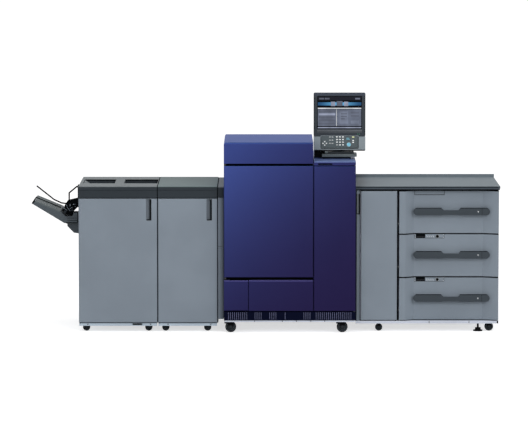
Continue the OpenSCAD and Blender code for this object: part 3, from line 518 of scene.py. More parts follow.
def makePanelTrims():
    (x0, y0, z0), (x1, y1, z1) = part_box("monitor")
    side, top = panelLook["sideWidth"], panelLook["topWidth"]
    foot, head, depth = z0 + 0.008, z1 - 0.008, (y0, 0.0004, 0.002, 0.0006)
    blackPiece("monitor_edges", plate(x0 + 0.0001, x0 + side, foot, head, *depth),
               plate(x1 - side, x1 - 0.0001, foot, head, *depth),
               plate(x0 + 0.008, x1 - 0.008, z1 - top, z1 - 0.0001, *depth),
               body="operator_panel", slot="panel_dark")
    for foot, head, finish in panelLook["chin"]:
        makePiece("monitor_" + finish, "operator_panel", finish, "panel_dark",
                  plate(x0 + 0.024, x1 - 0.024, z0 + foot, z0 + head, y0, 0.0006, 0.002, 0.0012))
    lampSpots = [(x1 - fromRight, y0, z0 + 0.018) for fromRight in panelLook["lamps"]]
    (x0, y0, z0), (x1, y1, z1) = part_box("key_unit")
    # painted shadow: black lines along the unit's foot, under the inset and beside it
    blackPiece("key_unit_lines",
               plate(x0 + 0.004, x1 - 0.004, z0 + 0.0003, z0 + panelLook["lipHeight"], y0, 0.0004, 0.02,
                     0.0008),
               plate(x0 + 0.048, x0 + 0.308, z0 + 0.0148, z0 + 0.0208, y0, 0.0003, 0.002, 0.0006),
               *[plate(x0 + dx, x0 + dx + 0.0046, z0 + 0.018, z1 - 0.008, y0, 0.0003, 0.002, 0.0005)
                 for dx in (0.0474, 0.3042)], body="operator_panel", slot="panel_dark")
    (x, z), (wide, tall) = panelLook["label"]
    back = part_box("keys")[1].y
    makePiece("key_label_bars", "operator_panel", "labelPlastic", "key_white", *[
        ((x0 + x - wide / 2, back - 0.001, z0 + z + rise),
         (x0 + x + wide / 2 - 0.6 * rise, back - 0.0002, z0 + z + rise + tall), 0.0003)
        for rise in (0, 0.0075)])
    materials["ledGreen"] = litSurface("ledGreen", {"color": panelLook["ledColor"], "strength": 0.8})
    lampOutline = [(0, 0), (0.0022, 0), (0.002, 0.0008), (0.001, 0.0013), (0, 0.0014)]
    makePiece("monitor_lamps", "operator_panel", "ledGreen", "screen_glass",
              *[(lampOutline, spot, toFront, 12) for spot in lampSpots])

    # one thin cover over the base's own plate, and the low boss of the tower's cover round its foot, painted
    # in the paler colour of the lit tower top as painted light
    (x0, y0, z0), (x1, y1, z1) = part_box("panel_base")
    towerTop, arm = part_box("tower_top")[1].z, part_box("panel_arm")[0]
    plateX = arm.x - panelLook["plateReach"]
    for name, finish, slot, cuts, middleX, middleZ, factors in (
            ("swivel_plate", "platePlastic", "panel_grey",
             [((0, 0, towerTop + 0.017), (0, 0, -1)), ((0, 0, arm.z), (0, 0, 1)),
              ((plateX, 0, 0), (-1, 0, 0))],
             (plateX + x1) / 2, arm.z - 0.0085, (1.004, 1.006, 1.05)),
            ("base_boss", "bossPaint", "indigo", [((0, 0, towerTop + 0.0065), (0, 0, 1))],
             (x0 + x1) / 2, towerTop, (1.008, 1.01, 1.0))):
        bm = cutCopy("panel_base", cuts)
        away = Matrix.Translation((-middleX, -(y0 + y1) / 2, -middleZ))
        bmesh.ops.scale(bm, vec=factors, space=away, verts=bm.verts)
        finishPiece(name, bm, "cabinets", finish)
    makePiece("neck_end", "operator_panel", "platePlastic", "panel_grey",
              plate(arm.x - 0.0006, arm.x + 0.02, arm.z + 0.004, arm.z + 0.018, arm.y, 0.0008, 0.03, 0.002))


# linings: dark plates in the pockets of the finisher's top, and painted shade in the finger grips

liningLook = {
    "sheet": 0.0008,
    "leftPocket": (0.023, 0.08, 0.24),  # from the finisher's left side: ramp top, ramp foot, far wall
    "rightPocket": (0.302, 0.531),
    "pocketDepth": (0.227, 0.52),  # from the front
    "pocketFall": 0.042,
    "lineFall": 0.008,
    "grips": {"finisher_door": 0.461, "relay_door": 0.332},
    "gripFoot": 0.768,
    "stripGrip": (0.81, 0.95),
    "rampTurn": 37.7,  # degrees
}


def makeLinings():
    t = liningLook["sheet"]
    low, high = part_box("finisher_top")
    y0, y1 = [low.y + d for d in liningLook["pocketDepth"]]
    floor, lip = high.z - liningLook["pocketFall"], high.z - 0.0015
    rampTop, rampFoot, wall = [low.x + d for d in liningLook["leftPocket"]]
    start, end = [low.x + d for d in liningLook["rightPocket"]]
    blocks = []
    for x0, rearX, x1 in ((rampFoot, rampTop, wall), (start, start, end)):
        blocks += [((x0, y0, floor), (x1, y1, floor + t)), ((rearX, y1 - t, floor), (x1, y1, lip)),
                   ((x1 - t, y0, floor), (x1, y1, lip)), ((x0, y0, floor), (x1, y0 + t, lip))]
    makePiece("pocket_linings", "cabinets", "charcoalPlastic", "black_plastic", *blocks, smooth=False)
    # black lines where the pockets' rear and side walls meet the top
    rim, fall = high.z + 0.0002, liningLook["lineFall"]
    blackPiece("pocket_lines", ((rampTop, y1 - 0.002, rim - fall), (wall, y1 + 0.0006, rim)),
               ((start, y1 - 0.002, rim - fall), (end, y1 + 0.0006, rim)),
               ((end - 0.001, y0, rim - 0.002), (end + 0.003, y1, rim)),
               ((rampTop - 0.0016, y0, rim - 0.002), (rampTop + 0.001, y1, rim)), smooth=False)

    foot = liningLook["gripFoot"]
    for door, offset in liningLook["grips"].items():
        low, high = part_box(door)
        x, y, head = low.x + offset, low.y, high.z - 0.0035
        # painted shade in each grip: a dark floor, black lines at its right side and foot as painted shadow,
        # and a darker ramp
        makePiece(door + "_grip", door, "charcoalPlastic", "charcoal",
                  ((x + 0.023, y + 0.016, foot + 0.0005), (x + 0.0372, y + 0.0168, head), 0.0002, 1),
                  smooth=False)
        blackPiece(door + "_grip_lines",
                   ((x + 0.0305, y + 0.001, foot + 0.0006), (x + 0.0378, y + 0.016, head), 0.0004, 1),
                   ((x + 0.003, y + 0.0022, foot + 0.0002), (x + 0.0375, y + 0.0158, foot + 0.0068),
                    0.0004, 1),
                   body=door, smooth=False)
        makePiece(door + "_grip_ramp", door, "gripRamp", "module_grey",
                  ((x + 0.001, y - 0.0007, foot + 0.001), (x + 0.0272, y - 0.0001, head), 0.0002, 1,
                   (liningLook["rampTurn"], "Z", (x, y, 0))), smooth=False)

    # feeder strip: grey back, black side and foot of the grip as painted shadow, a pale lining in the gap
    # beside the door as painted light, and a black line beside the engine as painted shadow
    (x, y, foot), (x1, y1, head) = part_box("feeder_left_wall")
    low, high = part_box("feeder_door")
    z0, z1 = liningLook["stripGrip"]
    makePiece("feeder_grip_back", "cabinets", "topPlastic", "module_grey",
              ((x + 0.0072, y + 0.012, z0 + 0.0008), (x + 0.0245, y + 0.0165, z1 - 0.0008), 0.0004, 1))
    makePiece("feeder_gap_lining", "cabinets", "basePaint", "module_grey",
              ((x1, high.y + 0.0055, low.z), (low.x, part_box("feeder_core")[0].y, high.z), 0.0004, 1))
    blackPiece("feeder_grip_lines",
               ((x + 0.0235, y + 0.0006, z0 + 0.0002), (x + 0.0288, y + 0.016, z1 - 0.0002), 0.0005),
               ((x + 0.0064, y + 0.002, z0 + 0.0002), (x + 0.028, y + 0.016, z0 + 0.0045), 0.0005),
               plate(x + 0.0001, x + 0.0062, foot + 0.001, head - 0.001, y, 0.0004, 0.002, 0.0004, 1))


# seams between the standing modules: black blocks in the gaps as painted shade, and the filler's dark band

seamLook = {"inset": 0.003, "joint": (0.588, 0.591)}


def makeSeams():
    inset = seamLook["inset"]
    blocks = []
    for left, right in (("finisher", "relay"), ("relay", "filler")):
        x0, y0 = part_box(left + "_top")[1].x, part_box(left + "_fascia")[0].y
        x1, z1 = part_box(right + "_top")[0].x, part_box(right + "_top")[1].z
        low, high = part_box(left + "_body")
        blocks += [((x0, low.y, low.z), (x1, high.y - inset, high.z)),
                   ((x0, y0 + inset, high.z + 0.001), (x1, high.y - inset, z1 - 0.001))]
    blackPiece("module_seals", *blocks, smooth=False)
    (x0, y0, z0), (x1, y1, z1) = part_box("filler_top")
    makePiece("filler_band", "cabinets", "charcoalPlastic", "charcoal",
              plate(x0 + 0.0002, x1 - 0.0002, z0 + 0.0005, z1 - 0.006, y0, 0.0006, 0.003, 0.0006))
    (x0, y0, z0), (x1, y1, z1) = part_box("filler_panel")
    makePiece("filler_joint", "cabinets", "trayPlastic", "module_grey",
              plate(x0 + 0.0003, x1 - 0.0003, *seamLook["joint"], y0, 0.0003, 0.002, 0.0003, 1))


# engine: black strips behind the wide gaps as painted shade, an insert in the tower's slot, marks and screws
# on the rails

railLook = {
    "ticks": {"base_rail": (0.2105, 0.4, 0.495, 0.594, 0.69), "feeder_base": (0.505, 0.778)},
    "screws": (0.061, 0.491, 0.611, 0.905),
    "slotStart": 0.027,  # from the tower's left side
    "slotBars": 12,
}


def makeEngineTrims():
    body, (low, high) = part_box("engine_body")[0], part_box("main_door")
    panelHead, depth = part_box("lower_panel")[1].z, (body.y, 0.0012, 0, 0.0004)
    blackPiece("gap_strips", plate(body.x + 0.001, high.x, panelHead - 0.012, low.z + 0.008, *depth),
               plate(body.x + 0.001, high.x, high.z - 0.008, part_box("engine_lid")[0].z - 0.0006, *depth),
               slot="plinth_dark")
    x, y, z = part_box("tower_top")[0]
    x += railLook["slotStart"]
    blackPiece("tower_slot_grille",
               ((x + 0.0004, y + 0.003, z + 0.0034), (x + 0.0976, y + 0.0296, z + 0.0136), 0.0008),
               *[((x + 0.004 + dx, y + 0.0008, z + 0.004), (x + 0.0055 + dx, y + 0.012, z + 0.013), 0.0004, 1)
                 for dx in [i * 0.008 for i in range(railLook["slotBars"])]])
    blocks = []
    for rail, ticks in railLook["ticks"].items():
        (x0, y0, z0), (x1, y1, z1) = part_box(rail)
        left = body.x if rail == "base_rail" else x0
        blocks += [plate(left + x - 0.0018, left + x + 0.0018, z0 + 0.001, z1 - 0.0005, y0, 0.0012, 0.001,
                         0.0005) for x in ticks]
    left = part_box("finisher_door")[0].x
    sillLow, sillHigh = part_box("module_bases")
    blackPiece("rail_marks", *blocks,
               plate(x1 - 0.01, x1 - 0.0005, z0 + 0.0005, z1 - 0.0003, y0, 0.0012, 0.004, 0.0008),
               plate(left + 0.368, left + 0.434, sillHigh.z - 0.011, sillHigh.z - 0.001, sillLow.y,
                     0.0028, 0.001, 0.0012))
    makePiece("sill_screws", "cabinets", "darkSteel", "steel",
              *screws("sill", [left + x for x in railLook["screws"]], [sillHigh.z - 0.006], sillLow.y))


# drawers: black caps in the seams as painted shade, label frame, displays and marks on the pulls

drawerLook = {
    "cap": 0.0032,
    "label": (0.105, 0.311, 0.03),  # left and right end and height of the recess at the top edge
    "trough": 0.042,
    "segments": 5,
    "pullMark": 0.4425,  # from the pull's left end
    "pullJoint": 0.026,  # from the mark to the joint in the pull
    "pullLine": 0.0026,
    "frameLine": {1: 0.0026, 2: 0.0018, 3: 0.0018},
    "screenRim": (0.0635, 0.0034),  # width of the black rim round the display, and how far it stands over it
}


def makeDrawerTrims():
    start, end, fall = drawerLook["label"]
    for i in (1, 2, 3):
        body = f"drawer_{i}"

        def flatPiece(name, finish, slot, *blocks):
            makePiece(body + name, body, finish, slot, *blocks, smooth=False)

        def topLine(node, tall, rise, name):
            # a thin black copy of the node's upper edge
            bm = cutCopy(node, [((0, 0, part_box(node)[1].z - tall), (0, 0, -1))])
            bmesh.ops.translate(bm, vec=(0, -0.0003, rise), verts=bm.verts)
            finishPiece(body + name, bm, body, "blackPlastic", smooth=False)

        topLine(body + "_front", drawerLook["cap"], 0.0006, "_seam")
        low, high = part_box(body + "_front")
        trough = low.y + drawerLook["trough"]
        left, right, foot, head = low.x + start, low.x + end, high.z - fall, high.z - 0.0005
        line, depth = drawerLook["frameLine"][i], (trough, 0.0002, 0.003, 0.0003, 1)
        flatPiece("_label_frame", "blackPlastic", "charcoal",
                  plate(left, right, foot - 0.0002, foot + line, *depth),
                  plate(left, left + line, foot, head, *depth),
                  plate(right - line, right, foot, head, *depth))
        low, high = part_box(body + "_pull")
        z, x, depth = (low.z + high.z) / 2, low.x + drawerLook["pullMark"], (low.y, 0.0003, 0.0005, 0.0003, 1)
        flatPiece("_pull_mark", "markPaint", "pull_grey",
                  plate(x - 0.004, x + 0.004, z - 0.001, z + 0.003, *depth),
                  plate(x - 0.002, x + 0.002, z - 0.006, z - 0.002, *depth))
        x += drawerLook["pullJoint"]
        flatPiece("_pull_joint", "blackPlastic", "pull_grey",
                  plate(x - 0.0011, x + 0.0011, low.z + 0.001, high.z - 0.001, low.y, 0.0002, 0.002,
                        0.0003, 1))
        topLine(body + "_pull", drawerLook["pullLine"], 0.0003, "_pull_line")
        if i == 1:
            continue
        (x, y, z), (x1, y1, z1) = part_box(body + "_display")
        face, (wide, over) = trough + 0.003, drawerLook["screenRim"]
        flatPiece("_display_rim", "blackPlastic", "charcoal", *[
            plate(x, x + wide, z0, z0 + over + 0.001, face, 0.0008, 0.0004, 0.0003, 1)
            for z0 in (z - over, z1 - 0.001)])
        flatPiece("_digits", "digitPaint", "key_white", *[
            ((x + 0.004 + n * 0.0116, y + 0.0016, z + rise),
             (x + 0.013 + n * 0.0116, face, z + rise + 0.0018), 0.0002, 1)
            for n in range(drawerLook["segments"]) for rise in (0.004, 0.009)])
        depth = (face, 0.0006, 0.0004, 0.0002, 1)
        flatPiece("_display_marks", "markPaint", "key_white",
                  *[plate(x + dx, x + dx + wide, z + rise, z + rise + 0.0025, *depth)
                    for dx in (0.074, 0.088, 0.102, 0.116)
                    for rise, wide in ((0.006, 0.007), (0.013, 0.004))],
                  *[plate(x0, x0 + 0.0035, z0, z0 + 0.0035, *depth) for x0 in (left + 0.004, right - 0.0075)
                    for z0 in (foot + 0.004, foot + fall - 0.0075)])
        makePiece(body + "_button_ring", body, "greyKeyPlastic", "key_white",
                  ([(0.0102, 0), (0.0125, 0), (0.0125, 0.001), (0.0115, 0.0016), (0.0102, 0.0012),
                    (0.0102, 0)], (x1 - 0.01, face - 0.0002, (z1 + z) / 2), toFront, 24))

    # two thin dark lines along the worktop's edge
    (x0, y0, z0), (x1, y1, z1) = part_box("feeder_top_band")
    blackPiece("worktop_lines", *[
        plate(x0 + 0.001, x1 - 0.013, foot, head, y0, 0.0004, 0.006, 0.0004, 1)
        for foot, head in ((z1 - 0.0058, z1 - 0.0002), (z0 + 0.0002, z0 + 0.0052))])


# stack tray: deck plates with ribs, painted paler as the lit top, groove strip, tip cap and the lines at its
# root, and painted highlights along the front rim, the root and the carriage

trayLook = {
    "rise": 22.41,  # degrees that the deck falls towards its root
    "deck": (0.021, 0.198),  # deck's ends from the tip
    "groove": (0.215, 0.007),  # middle of the groove from the front, half its width
    "ribs": 7,
    "rootLines": (0.768, 0.752),
    "railRise": 0.0055,
    "tipTurn": -40.6,  # degrees
}


def makeTrayTrims():
    (x, y, foot), (x1, y1, z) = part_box("stack_tray")
    start, deckEnd = [x + d for d in trayLook["deck"]]
    end = start + (deckEnd - start) / math.cos(math.radians(trayLook["rise"]))
    middle, half, ribs = y + trayLook["groove"][0], trayLook["groove"][1], trayLook["ribs"]
    turn = (trayLook["rise"], "Y", (start, 0, z))
    for name, y0, wide in (("deck_plate_front", y + 0.003, middle - half - 0.001 - (y + 0.003)),
                           ("deck_plate_rear", middle + half + 0.001, y1 - 0.003 - (middle + half + 0.001))):
        makePiece(name, "stack_tray", "deckPlastic", "tray_grey",
                  ((start + 0.001, y0, z - 0.0004), (end - 0.001, y0 + wide, z + 0.0006), 0.0003, 1, turn),
                  *[((start + 0.006, ribY - 0.0012, z + 0.0002), (end - 0.008, ribY + 0.0012, z + 0.0014),
                     0.0004, 1, turn) for ribY in [y0 + wide * (i + 0.5) / ribs for i in range(ribs)]])
    tipTurn, depth = (trayLook["tipTurn"], "Y", (x, 0, z - 0.018)), (y, 0.0003, 0.001, 0.0003, 1)
    blackPiece("tray_dark_trims",
               ((start + 0.002, middle - half + 0.0002, z - 0.0058),
                (end - 0.009, middle + half - 0.0002, z + trayLook["railRise"]), 0.0012, 2, turn),
               ((x + 0.0012, y + 0.0005, z - 0.0186), (x + 0.0272, y1 - 0.0005, z - 0.0174),
                0.0004, 1, tipTurn),
               plate(x + 0.0014, x + 0.0272, z - 0.0242, z - 0.0165, y, 0.0006, 0.002, 0.0006, 2, tipTurn),
               plate(x + 0.232, x1 - 0.001, foot + 0.0002, foot + 0.006, *depth),
               *[plate(x + 0.245, x1 - 0.002, line, line + 0.003, *depth) for line in trayLook["rootLines"]],
               body="stack_tray")
    makePiece("tray_front_rim", "stack_tray", "deckPlastic", "tray_grey",
              plate(start + 0.004, end - 0.002, z - 0.0075, z - 0.0012, y, 0.0005, 0.0015, 0.0005, 1, turn),
              plate(deckEnd + 0.0005, deckEnd + 0.005, 0.78, 0.8115, y, 0.0006, 0.04, 0.001))
    low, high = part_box("tray_carriage")
    makePiece("carriage_line", "stack_tray", "deckPlastic", "tray_grey",
              plate(low.x + 0.001, x + 0.321, high.z - 0.0065, high.z - 0.0015, low.y, 0.0004, 0.002, 0.0006))


# fittings on the exit unit: lengths count from the finisher's left side, heights from the floor
exitLook = {
    "levers": (  # left, right, foot, head, depths, bevel, segments, turn in degrees about a point
        (-0.098, -0.058, 0.83, 0.8335, 0.0012, 0.001, 0.0006, 2, (52, -0.078, 0.8318)),
        (-0.069, -0.063, 0.848, 0.862, 0.0012, 0.001, 0.0008, 2, (8, -0.066, 0.855)),
        (-0.046, -0.037, 0.858, 0.864, 0.0012, 0.001, 0.001, 2, (0, 0, 0)),
        (-0.07, -0.046, 0.836, 0.839, 0.0012, 0.001, 0.0008, 2, (-28, -0.058, 0.8375)),
        (-0.128, -0.082, 0.8318, 0.8346, 0.0014, 0.0006, 0.0006, 1, (34, -0.105, 0.8332)),
        (-0.093, -0.088, 0.852, 0.858, 0.0014, 0.0006, 0.0008, 1, (0, 0, 0)),
        (-0.034, -0.027, 0.844, 0.847, 0.0014, 0.0006, 0.0008, 1, (0, 0, 0))),
    "knobs": ((-0.1, 0.812, 0.0085), (-0.086, 0.846, 0.006), (-0.052, 0.822, 0.006), (-0.03, 0.862, 0.005)),
    "tyres": (-0.1, 0.812, 0.066, 0.078, 4),  # place, first from the front, pitch, number
    "wireRadius": 0.005,
    "wires": (((-0.3015, 0.9735), (-0.185, 0.881), (-0.133, 0.857), (-0.094, 0.852)),
              ((-0.08, 0.858), (-0.08, 0.927), (-0.027, 0.971), (-0.014, 0.967), (-0.013, 0.872))),
    "strip": (0.0205, 0.881, 0.984),  # width, foot and head
}


def makeExitFittings():
    root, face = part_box("finisher_body")[0].x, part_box("exit_unit")[0].y
    makePiece("exit_levers", "cabinets", "cabinetPaint", "tray_grey", *[
        plate(root + x0, root + x1, z0, z1, face, out, deep, bevel, segments,
              (degrees, "Y", (root + x, 0, z)))
        for x0, x1, z0, z1, out, deep, bevel, segments, (degrees, x, z) in exitLook["levers"]])
    makePiece("exit_knobs", "cabinets", "charcoalPlastic", "charcoal", *[
        ([(0, 0), (r, 0), (r, 0.001), (0.7 * r, 0.0018), (0.3 * r, 0.0018), (0.25 * r, 0.0008), (0, 0.0008)],
         (root + x, face, z), toFront, 18) for x, z, r in exitLook["knobs"]])
    tyreX, tyreZ, first, pitch, count = exitLook["tyres"]
    makePiece("roller_tyres", "cabinets", "wheelRubber", "caster_black", *[
        ([(0.0131, -0.0105), (0.0136, -0.0095), (0.0136, 0.0095), (0.0131, 0.0105), (0.0128, 0.0105),
          (0.0128, -0.0105), (0.0131, -0.0105)],
         (root + tyreX, face + first + pitch * i, tyreZ), (0, 1, 0), 24) for i in range(count)])

    # coats on the guide wires, round at every bend, and the black strip that holds them
    low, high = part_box("guide_wires")
    y, radius = (low.y + high.y) / 2, exitLook["wireRadius"]
    bm = bmesh.new()
    for wire in exitLook["wires"]:
        spots = [Vector((root + x, y, z)) for x, z in wire]
        for start, end in zip(spots, spots[1:]):
            bmesh.ops.create_cone(bm, cap_ends=True, segments=12, radius1=radius, radius2=radius,
                                  depth=(end - start).length,
                                  matrix=Matrix.Translation((start + end) / 2) @ towards(end - start))
        for spot in spots:
            bmesh.ops.create_uvsphere(bm, u_segments=12, v_segments=8, radius=radius,
                                      matrix=Matrix.Translation(spot))
    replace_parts(finishPiece("guide_wire_coats", bm, "cabinets", "wirePaint"), "guide_wires")
    wide, foot, head = exitLook["strip"]
    blackPiece("wire_strip", plate(root - wide, root - 0.0002, foot, head, y, 0.02, 0.02, 0.0025))


# engine plinth: pale fins stand in the vent slots, their pale colour painted light

ventLook = {
    "groups": ((0.027, 10), (0.209, 4), (0.31, 4), (0.415, 1), (0.543, 4), (0.627, 18)),
    "pitch": 0.014,
    "width": 0.007,
    "side": 0.0024,
}


def makeVents():
    (x0, y0, z0), (x1, y1, z1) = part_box("engine_plinth")
    spots = [x0 + start + i * ventLook["pitch"] for start, count in ventLook["groups"] for i in range(count)]
    makePiece("vent_fins", "cabinets", "finPlastic", "plinth_dark", *[
        ((x + ventLook["side"], y0 + 0.0003, z0 + 0.0045),
         (x + ventLook["width"] - ventLook["side"], y0 + 0.006, z1 - 0.0025), 0.0008) for x in spots])


# casters: hub caps and rings on every wheel, the rings paler as painted highlights, brake levers over the
# engine's front wheels

hubLook = {"standOut": 0.005, "ringReach": (0.82, 0.56), "brakeHeights": (0.0665, 0.066, 0.072)}


def makeHubs():
    finisherLow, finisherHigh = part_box("finisher_body")
    relayLow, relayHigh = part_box("relay_body")
    feederLow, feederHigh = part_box("feeder_top_band")
    plinthLow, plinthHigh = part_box("engine_plinth")
    rail, (lidLow, lidHigh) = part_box("base_rail")[0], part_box("engine_lid")
    moduleY = (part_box("finisher_door")[0].y + 0.077, finisherHigh.y - 0.077)
    engineX, engineY = (plinthLow.x + 0.046, plinthHigh.x - 0.09), (lidLow.y + 0.075, lidHigh.y - 0.075)
    moduleX = (finisherLow.x + 0.049, finisherHigh.x - 0.06, relayLow.x + 0.051, relayHigh.x - 0.067,
               feederLow.x + 0.161)
    caps, rings = [], []
    for columns, rows, r, w in ((moduleX, moduleY, 0.025, 0.022),
                                ((feederHigh.x - 0.07,), moduleY, 0.03, 0.024),
                                (engineX, engineY, 0.0375, 0.03)):
        for x, y, side in [(x, y, side) for y in rows for x in columns for side in (-1, 1)]:
            caps.append(([(0, 0), (0.33 * r, 0), (0.33 * r, 0.001), (0.26 * r, 0.0022), (0.12 * r, 0.0026),
                          (0, 0.0026)], (x, y + side * (w / 2 + hubLook["standOut"]), r), (0, side, 0), 20))
            for reach, face in zip(hubLook["ringReach"], (w / 2 - 0.0012, w / 3 - 0.0002)):
                outer, inner = reach * r, (reach - 0.1) * r
                rings.append(([(outer, 0), (outer, 0.0014), ((reach - 0.05) * r, 0.0018), (inner, 0.0014),
                               (inner, 0), (outer, 0)], (x, y + side * face, r), (0, side, 0)))
    makePiece("wheel_hubs", "cabinets", "armPlastic", "caster_black", *caps)
    y, (foot, padFoot, padHead) = engineY[0], hubLook["brakeHeights"]
    blackPiece("caster_levers",
               *[((x - 0.021, rail.y + 0.014, foot), (x + 0.025, y + 0.01, rail.z - 0.0005), 0.002)
                 for x in engineX],
               *[((x - 0.043, rail.y + 0.012, padFoot), (x - 0.017, y - 0.022, padHead), 0.002)
                 for x in engineX], slot="caster_black")
    makePiece("wheel_rings", "cabinets", "trayPlastic", "caster_black", *rings)


# behind the doors: green grips on the knobs, coloured rings and bars of the toner and drum units, screws

innerLook = {
    "rise": 0.0008,
    "knobs": (  # door, then the places from its left side and over the floor, and the radius
        ("finisher_door", ((0.15, 0.23), (0.15, 0.48), (0.15, 0.73)), 0.026),
        ("relay_door", ((0.11, 0.26), (0.11, 0.62)), 0.026),
        ("feeder_door", ((0.08, 0.24), (0.08, 0.52), (0.08, 0.8)), 0.026),
        ("main_door", ((0.109, 0.85), (0.239, 0.85), (0.369, 0.85), (0.499, 0.85)), 0.024),
        ("main_door", ((0.14, 0.6),), 0.034),
    ),
    "knobTurn": -35,  # degrees
    "knobRise": 0.007,
    "coverRise": 0.005,
    "unitRise": 0.003,
    "toner": (0.138, 0.52, 0.15, 0.062),  # from the tower's left side, first height, pitch, radius
    "drum": (0.048, 0.13, 1.046, 1.062),  # from the door's left side, pitch, foot and head
}


def makeInnerTrims():
    moduleFace, engineFace = [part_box(node)[0].y - innerLook["coverRise"]
                              for node in ("finisher_body", "engine_body")]
    unitFace = engineFace - innerLook["unitRise"]
    grips, collars, heads = [], [], []
    for door, spots, r in innerLook["knobs"]:
        face = unitFace if door == "main_door" else moduleFace
        top = face - innerLook["knobRise"]
        for x, z in [(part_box(door)[0].x + x, z) for x, z in spots]:
            grips.append(plate(x - 0.86 * r, x + 0.86 * r, z - 0.22 * r, z + 0.22 * r, top, innerLook["rise"],
                               0.001, 0.0004, 2, (innerLook["knobTurn"], "Y", (x, top, z))))
            collars.append(([(1.04 * r, 0), (1.22 * r, 0), (1.22 * r, 0.001), (1.16 * r, 0.0018),
                             (1.04 * r, 0.0018), (1.04 * r, 0)], (x, face, z), toFront, 32))
    makePiece("knob_grips", "cabinets", "greenPlastic", "plinth_dark", *grips)
    makePiece("knob_collars", "cabinets", "charcoalPlastic", "charcoal", *collars)
    tonerX, tonerZ, tonerPitch, r = innerLook["toner"]
    drumX, drumPitch, foot, head = innerLook["drum"]
    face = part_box("inner_covers")[0].y + 0.0031
    for n, name in enumerate(("tonerYellow", "tonerMagenta", "tonerCyan", "tonerBlack")):
        middle = (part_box("tower_top")[0].x + tonerX, face, tonerZ + n * tonerPitch)
        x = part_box("main_door")[0].x + drumX + n * drumPitch
        makePiece(name, "cabinets", name, "plinth_dark",
                  ([(0.6 * r, 0), (0.94 * r, 0), (0.94 * r, 0.0005), (0.9 * r, 0.0008), (0.64 * r, 0.0008),
                    (0.6 * r, 0.0005), (0.6 * r, 0)], middle, toFront, 36),
                  ([(0, 0), (0.16 * r, 0), (0.16 * r, 0.0006), (0.12 * r, 0.0008), (0, 0.0008)],
                   middle, toFront, 20),
                  plate(x + 0.012, x + 0.11, foot, head, unitFace, 0.0008, 0.001, 0.0004))
    for door in ("finisher_door", "relay_door", "feeder_door", "main_door"):
        low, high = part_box(door)
        heads += screws("cover", (low.x + 0.036, high.x - 0.036),
                        (max(low.z, 0.125) + 0.03, min(high.z, 1.11) - 0.06),
                        engineFace if door == "main_door" else moduleFace)
    makePiece("cover_screws", "cabinets", "platedSteel", "steel", *heads)


# back: dark linings in the cooling slots as painted shade, an insert and pins in the power inlet, screws,
# bare plates

backLook = {
    "slots": (  # node whose ends count, offsets from both, foot, number of slots
        ("finisher_body", 0.15, 0.15, 0.64, 6), ("relay_body", 0.1, 0.1, 0.64, 6),
        ("main_door", 0.07, 0.279, 0.7, 8), ("tower_top", 0.044, 0.06, 0.78, 6),
        ("drawer_rails", 0.2, 0.185, 0.3, 8)),
    "pitch": 0.022,
    "height": 0.009,
    "depth": 0.008,
    "inlet": (0.074, 0.144, 0.2, 0.25, 0.026),  # from the tower's left side, foot, head, depth
    "pins": ((-0.01, 0.004), (0.01, 0.004), (0.0, -0.006)),  # from the inlet's middle
    "plateSize": (0.11, 0.06),
    "plates": {"finisher_body": 0.4, "relay_body": 0.4, "feeder_back": 0.62},  # node, height
    "screwInset": (0.02, 0.022),
    "sheet": 0.004,
}


def makeBackTrims():
    engineBack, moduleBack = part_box("engine_body")[1].y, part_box("finisher_body")[1].y
    blocks = []
    for node, fromLeft, fromRight, foot, count in backLook["slots"]:
        low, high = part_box(node)
        floor = (engineBack if node in ("main_door", "tower_top") else moduleBack) - backLook["depth"]
        blocks += [plate(low.x + fromLeft + 0.0005, high.x - fromRight - 0.0005, z + 0.0003,
                         z + backLook["height"] - 0.0003, floor, 0.0002, 0.0012)
                   for z in [foot + i * backLook["pitch"] for i in range(count)]]
    blackPiece("slot_linings", *blocks, smooth=False)
    x0, x1, z0, z1, deep = backLook["inlet"]
    left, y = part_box("tower_top")[0].x, engineBack - deep
    blackPiece("inlet_insert", ((left + x0 + 0.006, y, z0 + 0.005),
                                (left + x1 - 0.006, y + 0.014, z1 - 0.005), 0.003, 3))
    x, z = left + (x0 + x1) / 2, (z0 + z1) / 2
    makePiece("inlet_pins", "cabinets", "platedSteel", "steel", *[
        ((x + dx - 0.001, y + 0.012, z + dz - 0.0035), (x + dx + 0.001, y + 0.024, z + dz + 0.0035), 0.0004)
        for dx, dz in backLook["pins"]])
    aside, above = backLook["screwInset"]
    wide, tall = [d / 2 for d in backLook["plateSize"]]

    def backScrews(low, high, face, *more):
        return screws("back", (low.x + aside, *more, high.x - aside),
                      (low.z + above, (low.z + high.z) / 2, high.z - above), face, (0, 1, 0))

    heads, plates = [], []
    for node, z in backLook["plates"].items():
        low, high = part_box(node)
        x = (low.x + high.x) / 2
        heads += backScrews(low, high, high.y, x)
        plates.append(plate(x - wide, x + wide, z - tall, z + tall, high.y, 0.0005, 0.0006, 0.0004, 1))
    # grey sheet over the back of the feeder's core
    low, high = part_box("feeder_core")
    face = high.y + backLook["sheet"]
    makePiece("core_back_sheet", "cabinets", "cabinetPaint", "module_grey",
              ((low.x + 0.0005, high.y - 0.0005, low.z + 0.001),
               (high.x - 0.0015, face, high.z - 0.001), 0.0008))
    makePiece("back_screws", "cabinets", "darkSteel", "steel", *heads, *backScrews(low, high, face))
    makePiece("back_plates", "cabinets", "platedSteel", "steel", *plates)


# light, floor and background

studio = {
    "sky": 0.56,  # strength of the even light from all round
    "floor": (0.80, 0.80, 0.80),
    "floorGlow": 0.62,
    "lamps": {
        "key": {"place": (6.5, -11.5, 6.5), "size": 5.0, "power": 600},
        "fill": {"place": (-4.5, -10.0, 4.5), "size": 5.0, "power": 80},
        "overhead": {"place": (-0.5, -2.5, 6.0), "size": 3.5, "power": 70},
    },
}


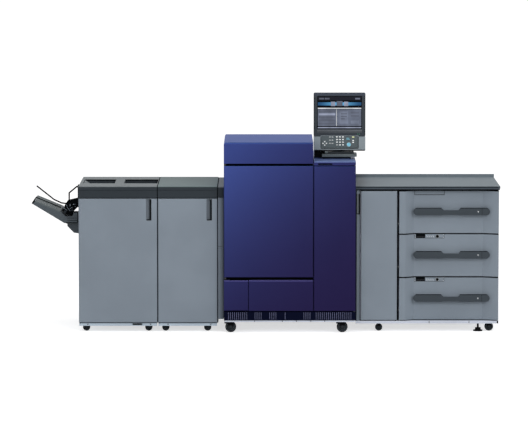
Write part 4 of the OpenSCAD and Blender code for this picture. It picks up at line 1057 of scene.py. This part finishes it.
def makeStudio():
    world = bpy.data.worlds.new("studioSky")
    scene.world = world
    world.use_nodes = True
    make, join = world.node_tree.nodes.new, world.node_tree.links.new
    sky = world.node_tree.nodes["Background"]
    sky.inputs[0].default_value = (1, 1, 1, 1)
    path, strength = make("ShaderNodeLightPath"), make("ShaderNodeMapRange")
    last = path.outputs["Is Camera Ray"]
    for ray in ("Is Glossy Ray", "Is Transmission Ray"):
        either = make("ShaderNodeMath")
        either.operation = "MAXIMUM"
        join(last, either.inputs[0])
        join(path.outputs[ray], either.inputs[1])
        last = either.outputs[0]
    join(last, strength.inputs["Value"])
    strength.inputs["To Min"].default_value = studio["sky"]
    strength.inputs["To Max"].default_value = 1.0
    join(strength.outputs[0], sky.inputs[1])

    g = Graph("floorPaint")
    seen, mirrored, through = [g.node("ShaderNodeLightPath", out=n) for n in (0, 3, 6)]
    shine = seen.math("MAXIMUM", mirrored).math("MAXIMUM", through)
    matt = g.node("ShaderNodeBsdfDiffuse", {}, {"Color": (*studio["floor"], 1)})
    glow = g.node("ShaderNodeEmission", {}, {"Color": (1, 1, 1, 1), "Strength": shine * studio["floorGlow"]})
    g.finish(g.node("ShaderNodeAddShader", {}, {0: matt, 1: glow}))
    bm = bmesh.new()
    bmesh.ops.create_grid(bm, x_segments=1, y_segments=1, size=120)
    mesh = bpy.data.meshes.new("floor")
    bm.to_mesh(mesh)
    bm.free()
    mesh.materials.append(g.material)
    floor = bpy.data.objects.new("floor", mesh)
    scene.collection.objects.link(floor)

    for name, place in studio["lamps"].items():
        lamp = bpy.data.lights.new(name, "AREA")
        lamp.energy, lamp.size = place["power"], place["size"]
        lampObject = bpy.data.objects.new(name, lamp)
        scene.collection.objects.link(lampObject)
        lampObject.location = place["place"]
        toMiddle = Vector((0, 0, 0.8)) - lampObject.location
        lampObject.rotation_euler = toMiddle.to_track_quat("-Z", "Y").to_euler()


for stage in (makeScreen, makeKeys, makePanelTrims, makeLinings, makeSeams, makeEngineTrims,
              makeDrawerTrims, makeTrayTrims, makeExitFittings, makeVents, makeHubs, makeInnerTrims,
              makeBackTrims, makeStudio):
    stage()
    print(stage.__name__, "done")
scene.view_settings.view_transform = "Standard"
